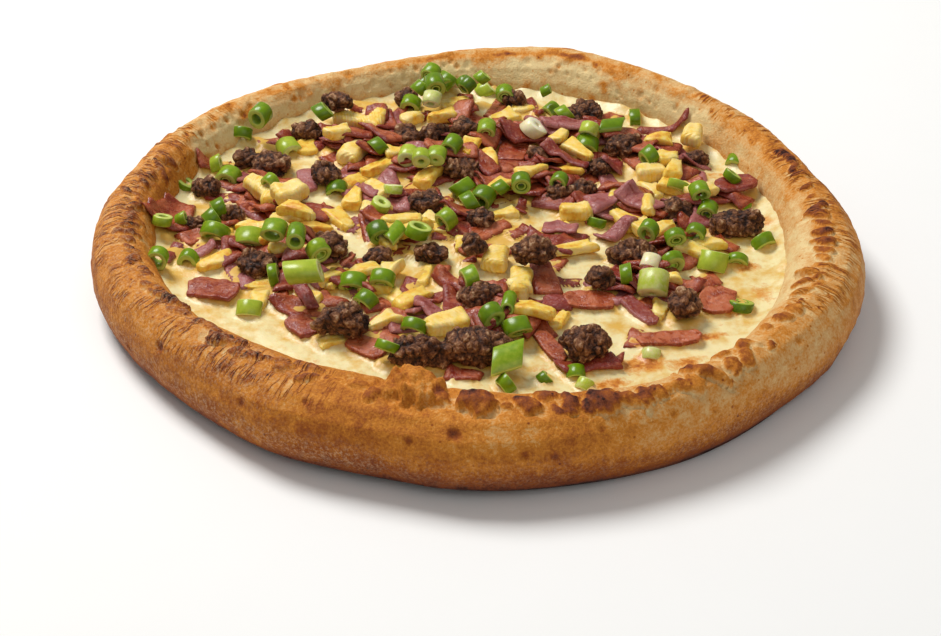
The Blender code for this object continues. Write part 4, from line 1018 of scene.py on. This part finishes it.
def draped_slice(row, relief, rng, settings):
    """A thin cut slice that sags over what it lies on, with uneven edges that curl a little."""
    x, y, length, width, turn, tone = row
    length *= MM
    width *= MM
    columns = max(5, round(length / SLICE_CELL))
    rows = max(4, round(width / SLICE_CELL))
    bm = bmesh.new()
    bmesh.ops.create_grid(bm, x_segments=columns, y_segments=rows, size=0.5)
    unit = np.array([vertex.co for vertex in bm.verts])
    column = np.rint((unit[:, 0] + 0.5) * columns).astype(int)
    line = np.rint((unit[:, 1] + 0.5) * rows).astype(int)
    sized = unit * np.array([length, width, 0])
    seed = rng.uniform(0, 90)
    shear = rng.uniform(-0.45, 0.45)
    taper = 1 - rng.uniform(0.0, 0.45) * (unit[:, 0] + 0.5)
    ragged = waves(sized, 5 * MM, seed)
    corner = np.abs(4 * unit[:, 0] * unit[:, 1])
    trim = 1 - 0.05 * corner ** 3 + 0.06 * ragged
    local_y = sized[:, 1] * trim * taper
    local_x = sized[:, 0] * trim + shear * local_y
    angle = math.radians(turn)
    plan_x = local_x * math.cos(angle) - local_y * math.sin(angle)
    plan_y = local_x * math.sin(angle) + local_y * math.cos(angle)
    level = READ_LEVEL
    for _ in range(4):
        place_x, place_y = along_sight(x, y, level)
        under = relief.at(plan_x + place_x, plan_y + place_y)
        level = np.median(under) + settings.ham_thickness
    # The slice spans the hollows: it is drawn level between the tops that it lies on.
    rest = np.zeros((rows + 1, columns + 1))
    rest[line, column] = under
    floor = rest.copy()
    for _ in range(30):
        padded = np.pad(rest, 1, mode="edge")
        mean = (padded[:-2, 1:-1] + padded[2:, 1:-1] + padded[1:-1, :-2] + padded[1:-1, 2:]) / 4
        rest = np.maximum(floor, mean)
    border = np.minimum((0.5 - np.abs(unit[:, 0])) * length, (0.5 - np.abs(unit[:, 1])) * width)
    edge = between(border, 0, 0.9 * MM)
    curl = np.clip(waves(sized, 8 * MM, seed + 5), -0.1, 1) * 2.2 * MM
    curl += between(unit[:, 0] * rng.choice((-1, 1)), 0.2, 0.5) * rng.uniform(0.0, 2.6) * MM
    low = rest[line, column] + curl + 0.2 * MM
    write_layer(bm, "thickness", settings.ham_thickness * (0.45 + 0.55 * edge) * (1 + 0.15 * ragged))
    for vertex, px, py, z in zip(bm.verts, plan_x + place_x, plan_y + place_y, low):
        vertex.co = (px, py, z)
    rind = 0.30 * between(unit[:, 1], 0.22, 0.40) * rng.choice((0, 1))
    write_layer(bm, "tone", tone + rind + 0.22 * (1 - edge) + 0.15 * waves(sized, 6 * MM, seed + 8))
    thickness = bm.verts.layers.float["thickness"]
    raised = bmesh.ops.extrude_face_region(bm, geom=bm.faces[:])
    for part in raised["geom"]:
        if isinstance(part, bmesh.types.BMVert):
            part.co.z += part[thickness]
    bm.verts.layers.float.remove(thickness)
    bmesh.ops.recalc_face_normals(bm, faces=bm.faces)
    relief.cover_form(bm)
    return bm


def make_ham(settings, relief):
    """The lower slices, read from the photograph and filled in between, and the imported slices."""
    rng = random.Random(settings.seed + 1)
    material = smoked_ham(settings)
    rows = list(HAM_LOW)
    kept_off = [(row[0], row[1], 10) for row in HAM_LOW + HAM_HIGH] + node_places("ham", 1)
    kept_off += node_places("beef", -3) + [(x, y, r + 7) for x, y, r in BARE]
    for x, y in open_places(10.2, TOPPED_RADIUS, kept_off, rng):
        tone = rng.choice((0.0, 0.1, 0.2, 0.3, 0.4, 0.85))
        rows.append((x, y, rng.uniform(17, 25), rng.uniform(10, 15), rng.uniform(0, 180), tone))
    slices = [draped_slice(row, relief, rng, settings) for row in rows]
    finished(joined(slices), "ham_scraps", material)
    for name in node_names("ham"):
        bm = refined(name, 3)
        points = np.array([vertex.co for vertex in bm.verts])
        seed = rng.uniform(0, 50)
        push_out(bm, 0.35 * MM * waves(points, 4 * MM, seed))
        middle = sum(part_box(name), Vector()) / 2
        away = np.hypot(points[:, 0] - middle.x, points[:, 1] - middle.y) / (10 * MM)
        rise = 1.6 * MM * away ** 2 * waves(points, 14 * MM, seed + 3)
        for vertex, up in zip(bm.verts, rise):
            vertex.co.z += up
        reading = read_back(middle)
        near = [tone for x, y, tone in PURPLE if math.hypot(x - reading[0], y - reading[1]) < 9]
        tone = near[0] if near else rng.choice((0.0, 0.1, 0.25))
        side = np.array([1 - abs(vertex.normal.z) for vertex in bm.verts])
        tone += 0.35 * between(side, 0.3, 0.9) + 0.1 * waves(points, 7 * MM, seed)
        write_layer(bm, "tone", tone)
        relief.cover_form(bm)
        finished(bm, name.replace("ham", "ham_slice"), material, [name])


def fibres(along, across, width, seed, points):
    """Shallow uneven grooves between the fibres that fan out along a piece, from -1 to 1."""
    count = max(2, round(width / (3.4 * MM)))
    wandering = 1.6 * waves(points, 6 * MM, seed)
    groove = np.sin(across / width * count * math.tau + wandering + 60 * along)
    return groove * between(waves(points, 4 * MM, seed + 4), -0.5, 0.3)


def pineapple_bit(row, rng):
    """A wedge of a pineapple slice: narrow and rounded, its outer end a little bent."""
    x, y, length, width, turn, tone = row
    bm = bmesh.new()
    bmesh.ops.create_cube(bm, size=1.0)
    height = rng.uniform(3.8, 5.2) * MM
    bmesh.ops.scale(bm, verts=bm.verts, vec=(length * MM, width * MM, height))
    for vertex in bm.verts:
        vertex.co += Vector((rng.uniform(-1, 1), rng.uniform(-1, 1), rng.uniform(-0.6, 0.6))) * 0.9 * MM
    bmesh.ops.bevel(bm, geom=bm.edges, offset=min(1.9 * MM, height * 0.4), segments=3, profile=0.5,
                    affect="EDGES", material=-1)
    bmesh.ops.subdivide_edges(bm, edges=bm.edges, cuts=2, use_grid_fill=True)
    thin_end = rng.choice((-1, 1))
    thin = rng.uniform(0.25, 0.65)
    bend = rng.uniform(0.03, 0.08) / MM
    sag = rng.uniform(-1.8, 0.6) * MM
    seed = rng.uniform(0, 60)
    points = np.array([vertex.co for vertex in bm.verts])
    along = points[:, 0] / (length * MM)
    groove = fibres(along, points[:, 1], width * MM, seed, points)
    narrow = 1 - (1 - thin) * (0.5 + along * thin_end)
    for vertex, share, squeeze in zip(bm.verts, along, narrow):
        vertex.co.x += bend * vertex.co.y ** 2
        vertex.co.y *= squeeze
        vertex.co.z = vertex.co.z * (0.75 + 0.35 * squeeze) + sag * 4 * share * share
    soften(bm)
    push_out(bm, 1.0 * MM * waves(points, 6 * MM, seed) + 0.25 * MM * groove)
    bmesh.ops.rotate(bm, verts=bm.verts, cent=(0, 0, 0),
                     matrix=Matrix.Rotation(math.radians(turn), 3, "Z")
                     @ Matrix.Rotation(rng.uniform(-0.25, 0.25), 3, "X"))
    # Tone rises in the fibre grooves and falls on the ridges: painted shade in the grooves, painted
    # highlight on the ridges.
    write_layer(bm, "tone", tone + 0.22 * waves(points, 5 * MM, seed + 9) - 0.10 * groove)
    return bm, x, y


def make_pineapple(settings, relief):
    """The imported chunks, and smaller bits sunk between what already lies there."""
    rng = random.Random(settings.seed + 2)
    material = baked_pineapple(settings)
    for name in node_names("pineapple"):
        relief.cover_node(name)
    rows = [(x, y, 1.2 * length, 1.15 * width, turn, 0.7 * tone)
            for x, y, length, width, turn, tone in PINEAPPLE_BITS]
    kept_off = [(row[0], row[1], 12) for row in PINEAPPLE_BITS] + node_places("pineapple", 7)
    kept_off += node_places("beef", 8) + node_places("ham", 4) + [(x, y, r + 4) for x, y, r in BARE]
    for x, y in open_places(10.5, TOPPED_RADIUS - 8, kept_off, rng):
        if rng.random() < 0.6:
            rows.append((x, y, rng.uniform(12, 18), rng.uniform(9, 12), rng.uniform(0, 180),
                         rng.uniform(0, .4)))
    bits = laid((pineapple_bit(row, rng) for row in rows), relief, bite=2.0 * MM, share=80)
    finished(bits, "pineapple_bits", material)
    for name in node_names("pineapple"):
        bm = refined(name, 4)
        points = np.array([vertex.co for vertex in bm.verts])
        seed = rng.uniform(0, 50)
        flat = points[:, :2] - points[:, :2].mean(0)
        long_way = np.linalg.eigh(flat.T @ flat)[1][:, 1]
        along = flat @ long_way
        across = flat @ np.array([-long_way[1], long_way[0]])
        groove = fibres(along / (15 * MM), across, 10 * MM, seed, points)
        push_out(bm, 1.0 * MM * waves(points, 6 * MM, seed) + 0.20 * MM * groove)
        # Tone rises in the fibre grooves and falls on the ridges: painted shade in the grooves, painted
        # highlight on the ridges.
        tone = rng.uniform(0.0, 0.25) + 0.25 * waves(points, 6 * MM, seed + 9) - 0.10 * groove
        write_layer(bm, "tone", tone)
        finished(bm, name.replace("pineapple", "pineapple_chunk"), material, [name])


def shape_beef(bm, settings, seed):
    """Give a lump the look of fried mince: uneven knobs of short, thin, broken strands."""
    points = np.array([vertex.co for vertex in bm.verts])
    wander = np.stack([waves(points, 4 * MM, seed + k) for k in (20, 30, 40)], axis=-1)
    strands = (points + 1.6 * MM * wander) * np.array([1.0, 0.65, 1.0])
    coarse = grains(strands, settings.beef_grain * 1.3, seed) ** 0.7
    fine = grains(strands, settings.beef_grain * 0.55, seed + 7)
    lumps = waves(points, 6.5 * MM, seed)
    push_out(bm, (1.4 * (coarse - 0.6) + 0.45 * (fine - 0.5) + 1.9 * lumps + 0.3) * MM)
    # The grain layer is lowest in the creases between grains, which the beef's finish turns darker: painted
    # shade.
    write_layer(bm, "grain", -0.06 + 0.40 * coarse + 0.24 * fine + 0.22 * lumps)


def beef_bit(row, settings, rng):
    """A small crumble of fried mince."""
    x, y, length, width = row
    bm = bmesh.new()
    bmesh.ops.create_icosphere(bm, subdivisions=5, radius=0.5)
    bmesh.ops.scale(bm, verts=bm.verts, vec=(length * MM, width * MM, 0.75 * width * MM))
    shape_beef(bm, settings, rng.uniform(0, 50))
    return bm, x, y


def make_beef(settings, relief):
    """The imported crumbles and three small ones."""
    rng = random.Random(settings.seed + 3)
    material = fried_beef(settings)
    for name in node_names("beef"):
        bm = refined(name, 2)
        shape_beef(bm, settings, rng.uniform(0, 50))
        relief.cover_form(bm)
        finished(bm, name.replace("beef", "beef_crumble"), material, [name])
    bits = laid((beef_bit(row, settings, rng) for row in BEEF_BITS), relief, bite=1.5 * MM, share=90)
    finished(bits, "beef_bits", material)


def onion_layer(outer, inner, length, soft):
    """One layer of a cut spring onion: a short tube with softened rims, axis along Z."""
    half = length / 2
    section = ((inner, -half + soft), (inner + soft, -half), (outer - soft, -half),
               (outer, -half + soft), (outer, 0), (outer, half - soft), (outer - soft, half),
               (inner + soft, half), (inner, half - soft), (inner, 0))
    bm = bmesh.new()
    points = [bm.verts.new((radius, 0, height)) for radius, height in section]
    edges = [bm.edges.new(pair) for pair in zip(points, points[1:] + points[:1])]
    bmesh.ops.spin(bm, geom=points + edges, cent=(0, 0, 0), axis=(0, 0, 1), angle=math.tau,
                   steps=28, use_merge=True, use_duplicate=False)
    bmesh.ops.remove_doubles(bm, verts=bm.verts, dist=1e-6)
    bmesh.ops.recalc_face_normals(bm, faces=bm.faces)
    skin = []
    for vertex in bm.verts:
        radius = math.hypot(vertex.co.x, vertex.co.y)
        cut = abs(vertex.co.z) > half - 0.5 * soft
        # The inner wall is tinted mostly with the skin's green: painted shade inside the hole.
        skin.append(0.0 if cut else (1.0 if radius > outer - 0.6 * soft else 0.75))
    write_layer(bm, "skin", skin)
    return bm


def onion_piece(row, settings, rng):
    """A cut ring or tube of one or two layers, a little squashed and slanting."""
    x, y, diameter, length, turn, tilt, tone = row
    length *= MM
    outer = diameter * ONION_SHRINK * MM / 2
    pale = 1.0 if tone > 0.42 else 1.5
    wall = 2 * outer * settings.onion_wall * pale * rng.uniform(0.8, 1.15)
    inner = max(outer - wall, 0.5 * MM)
    layers = [onion_layer(outer, inner, length, min(0.35 * MM, wall * 0.3))]
    if inner > 2.4 * MM and rng.random() < 0.5:
        short = length * rng.uniform(0.8, 1.0)
        layers.append(onion_layer(inner - 0.2 * MM, inner - 1.1 * MM, short, 0.2 * MM))
    bm = joined(layers)
    squash = rng.uniform(0.72, 1.0)
    skew = rng.uniform(-0.35, 0.35)
    shift = Vector((rng.uniform(0, 40), 0, 0))
    for vertex in bm.verts:
        across = Vector((vertex.co.x, vertex.co.y, 0))
        wobble = 1 + 0.08 * noise.noise(across / (5 * MM) + shift)
        vertex.co.x *= squash * wobble
        vertex.co.y *= wobble
        vertex.co.z += skew * vertex.co.x
    turning = Matrix.Rotation(math.radians(turn), 3, "Z") @ Matrix.Rotation(math.radians(tilt), 3, "Y")
    bmesh.ops.rotate(bm, verts=bm.verts, cent=(0, 0, 0), matrix=turning)
    write_layer(bm, "tone", np.full(len(bm.verts), min(1, max(0, tone + rng.uniform(-0.1, 0.06)))))
    return bm, x, y


def slit_piece(row):
    """Spring onion green that is slit open: a slanting sheet that arches a little."""
    x, y, length, width, turn, tilt, tone = row
    bm = bmesh.new()
    bmesh.ops.create_cube(bm, size=1.0)
    bmesh.ops.scale(bm, verts=bm.verts, vec=(length * MM, width * MM, SLIT_THICKNESS))
    bmesh.ops.bevel(bm, geom=bm.edges, offset=0.25 * SLIT_THICKNESS, segments=2, profile=0.5,
                    affect="EDGES", material=-1)
    bmesh.ops.subdivide_edges(bm, edges=bm.edges, cuts=4, use_grid_fill=True)
    for vertex in bm.verts:
        share = 2 * vertex.co.y / (width * MM)
        vertex.co.x += 0.45 * vertex.co.y
        vertex.co.z -= 1.4 * MM * share * share
    turning = Matrix.Rotation(math.radians(tilt), 3, "X") @ Matrix.Rotation(math.radians(turn), 3, "Z")
    bmesh.ops.rotate(bm, verts=bm.verts, cent=(0, 0, 0), matrix=turning)
    bm.normal_update()
    write_layer(bm, "skin", [min(1.0, max(0.0, 2 * abs(vertex.normal.z) - 0.4)) for vertex in bm.verts])
    write_layer(bm, "tone", np.full(len(bm.verts), tone))
    return bm, x, y


def make_onion(settings, relief):
    """The slit pieces, then the rings and tubes."""
    rng = random.Random(settings.seed + 4)
    slit = laid((slit_piece(row) for row in SLIT_ONION), relief, bite=1.0 * MM, share=90)
    rings = laid((onion_piece(row, settings, rng) for row in ONION), relief, bite=1.3 * MM, share=86)
    finished(joined([slit, rings]), "spring_onion_rings", cut_onion(settings))


def node_names(kind):
    """The CAD nodes of one kind of topping, in order."""
    return sorted(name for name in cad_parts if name.startswith(kind))


def area_light(name, place, size, power):
    """A round soft light that points at the middle of the pizza."""
    data = bpy.data.lights.new(name, "AREA")
    data.shape = "DISK"
    data.size = size
    data.energy = power
    lamp = bpy.data.objects.new(name, data)
    lamp.location = place
    lamp.rotation_euler = (-Vector(place)).to_track_quat("-Z", "Y").to_euler()
    bpy.context.scene.collection.objects.link(lamp)


def make_stage(settings):
    """The pale floor, two soft lights, an even sky and the camera."""
    bm = bmesh.new()
    bmesh.ops.create_grid(bm, x_segments=1, y_segments=1, size=4.0)
    bmesh.ops.translate(bm, verts=bm.verts, vec=(0, 0, -0.1 * MM))
    mesh = bpy.data.meshes.new("studio_floor")
    bm.to_mesh(mesh)
    bm.free()
    mesh.materials.append(studio_floor(settings))
    floor = bpy.data.objects.new("studio_floor", mesh)
    bpy.context.scene.collection.objects.link(floor)
    area_light("key_light", (-0.7, 0.7, 1.5), 0.8, settings.key)
    area_light("fill_light", (0.5, -1.1, 1.3), 1.4, settings.fill)
    world = bpy.data.worlds.new("pale_sky")
    world.use_nodes = True
    background = world.node_tree.nodes["Background"]
    background.inputs["Color"].default_value = (1.0, 1.0, 1.0, 1.0)
    background.inputs["Strength"].default_value = settings.sky
    bpy.context.scene.world = world
    bpy.context.scene.view_settings.view_transform = "Standard"
    data = bpy.data.cameras.new("photo_view")
    data.lens = VIEW_LENS
    data.sensor_width = 36.0
    data.sensor_fit = "HORIZONTAL"
    camera = bpy.data.objects.new("photo_view", data)
    back = VIEW_DISTANCE * math.cos(VIEW_ELEVATION)
    up = VIEW_DISTANCE * math.sin(VIEW_ELEVATION)
    camera.location = VIEW_TARGET + Vector((0, -back, up))
    camera.rotation_euler = (math.pi / 2 - VIEW_ELEVATION, 0, 0)
    bpy.context.scene.collection.objects.link(camera)
    bpy.context.scene.camera = camera


RELIEF = Relief()
RIM = {}


class PIZZA_OT_crust(Operator):
    """Bake the rim and base, with folds, blisters and flour"""
    bl_idname = "pizza.bake_crust"
    bl_label = "Bake the crust"

    def execute(self, context):
        RIM["toe"] = make_crust(context.scene.pizza_crust)
        RELIEF.cover_node("crust", topping=False)
        return {"FINISHED"}


class PIZZA_OT_ham(Operator):
    """Lay the ham slices and scraps"""
    bl_idname = "pizza.lay_ham"
    bl_label = "Lay the ham"

    def execute(self, context):
        make_ham(context.scene.pizza_toppings, RELIEF)
        return {"FINISHED"}


class PIZZA_OT_pineapple(Operator):
    """Lay the pineapple chunks and bits"""
    bl_idname = "pizza.lay_pineapple"
    bl_label = "Lay the pineapple"

    def execute(self, context):
        make_pineapple(context.scene.pizza_toppings, RELIEF)
        return {"FINISHED"}


class PIZZA_OT_beef(Operator):
    """Drop the fried beef crumbles"""
    bl_idname = "pizza.drop_beef"
    bl_label = "Drop the beef"

    def execute(self, context):
        make_beef(context.scene.pizza_toppings, RELIEF)
        return {"FINISHED"}


class PIZZA_OT_onion(Operator):
    """Lay the upper ham strips and scatter the cut spring onion"""
    bl_idname = "pizza.scatter_onion"
    bl_label = "Scatter the onion"

    def execute(self, context):
        settings = context.scene.pizza_toppings
        rng = random.Random(settings.seed + 5)
        high = [draped_slice(row, RELIEF, rng, settings) for row in HAM_HIGH]
        finished(joined(high), "ham_strips", bpy.data.materials[HAM_FINISH])
        make_onion(settings, RELIEF)
        return {"FINISHED"}


class PIZZA_OT_cheese(Operator):
    """Melt the cheese round the toppings"""
    bl_idname = "pizza.melt_cheese"
    bl_label = "Melt the cheese"

    def execute(self, context):
        make_cheese(context.scene.pizza_cheese, RELIEF, RIM["toe"])
        return {"FINISHED"}


class PIZZA_OT_stage(Operator):
    """Set the floor, the lights and the camera"""
    bl_idname = "pizza.set_stage"
    bl_label = "Set the stage"

    def execute(self, context):
        make_stage(context.scene.pizza_stage)
        return {"FINISHED"}


STEPS = (PIZZA_OT_crust, PIZZA_OT_ham, PIZZA_OT_pineapple, PIZZA_OT_beef, PIZZA_OT_onion,
         PIZZA_OT_cheese, PIZZA_OT_stage)
GROUPS = {"pizza_crust": CrustSettings, "pizza_cheese": CheeseSettings,
          "pizza_toppings": ToppingSettings, "pizza_stage": StageSettings}


class PIZZA_PT_panel(Panel):
    """Lists the settings and the steps in the order they are run"""
    bl_idname = "PIZZA_PT_panel"
    bl_label = "Pan pizza"
    bl_space_type = "VIEW_3D"
    bl_region_type = "UI"
    bl_category = "Pizza"

    def draw(self, context):
        for group in GROUPS:
            settings = getattr(context.scene, group)
            box = self.layout.box()
            for name in settings.__annotations__:
                box.prop(settings, name)
        for step in STEPS:
            self.layout.operator(step.bl_idname)


def register():
    """Register the settings, the steps and the panel."""
    for group in GROUPS.values():
        bpy.utils.register_class(group)
    for name, group in GROUPS.items():
        setattr(bpy.types.Scene, name, PointerProperty(type=group))
    for step in STEPS:
        bpy.utils.register_class(step)
    bpy.utils.register_class(PIZZA_PT_panel)


def unregister():
    """Take everything back that register made."""
    bpy.utils.unregister_class(PIZZA_PT_panel)
    for step in reversed(STEPS):
        bpy.utils.unregister_class(step)
    for name, group in reversed(GROUPS.items()):
        delattr(bpy.types.Scene, name)
        bpy.utils.unregister_class(group)


def main():
    """Run the steps in order."""
    register()
    bpy.ops.pizza.bake_crust()
    bpy.ops.pizza.lay_ham()
    bpy.ops.pizza.lay_pineapple()
    bpy.ops.pizza.drop_beef()
    bpy.ops.pizza.scatter_onion()
    bpy.ops.pizza.melt_cheese()
    bpy.ops.pizza.set_stage()


if __name__ == "__main__":
    main()
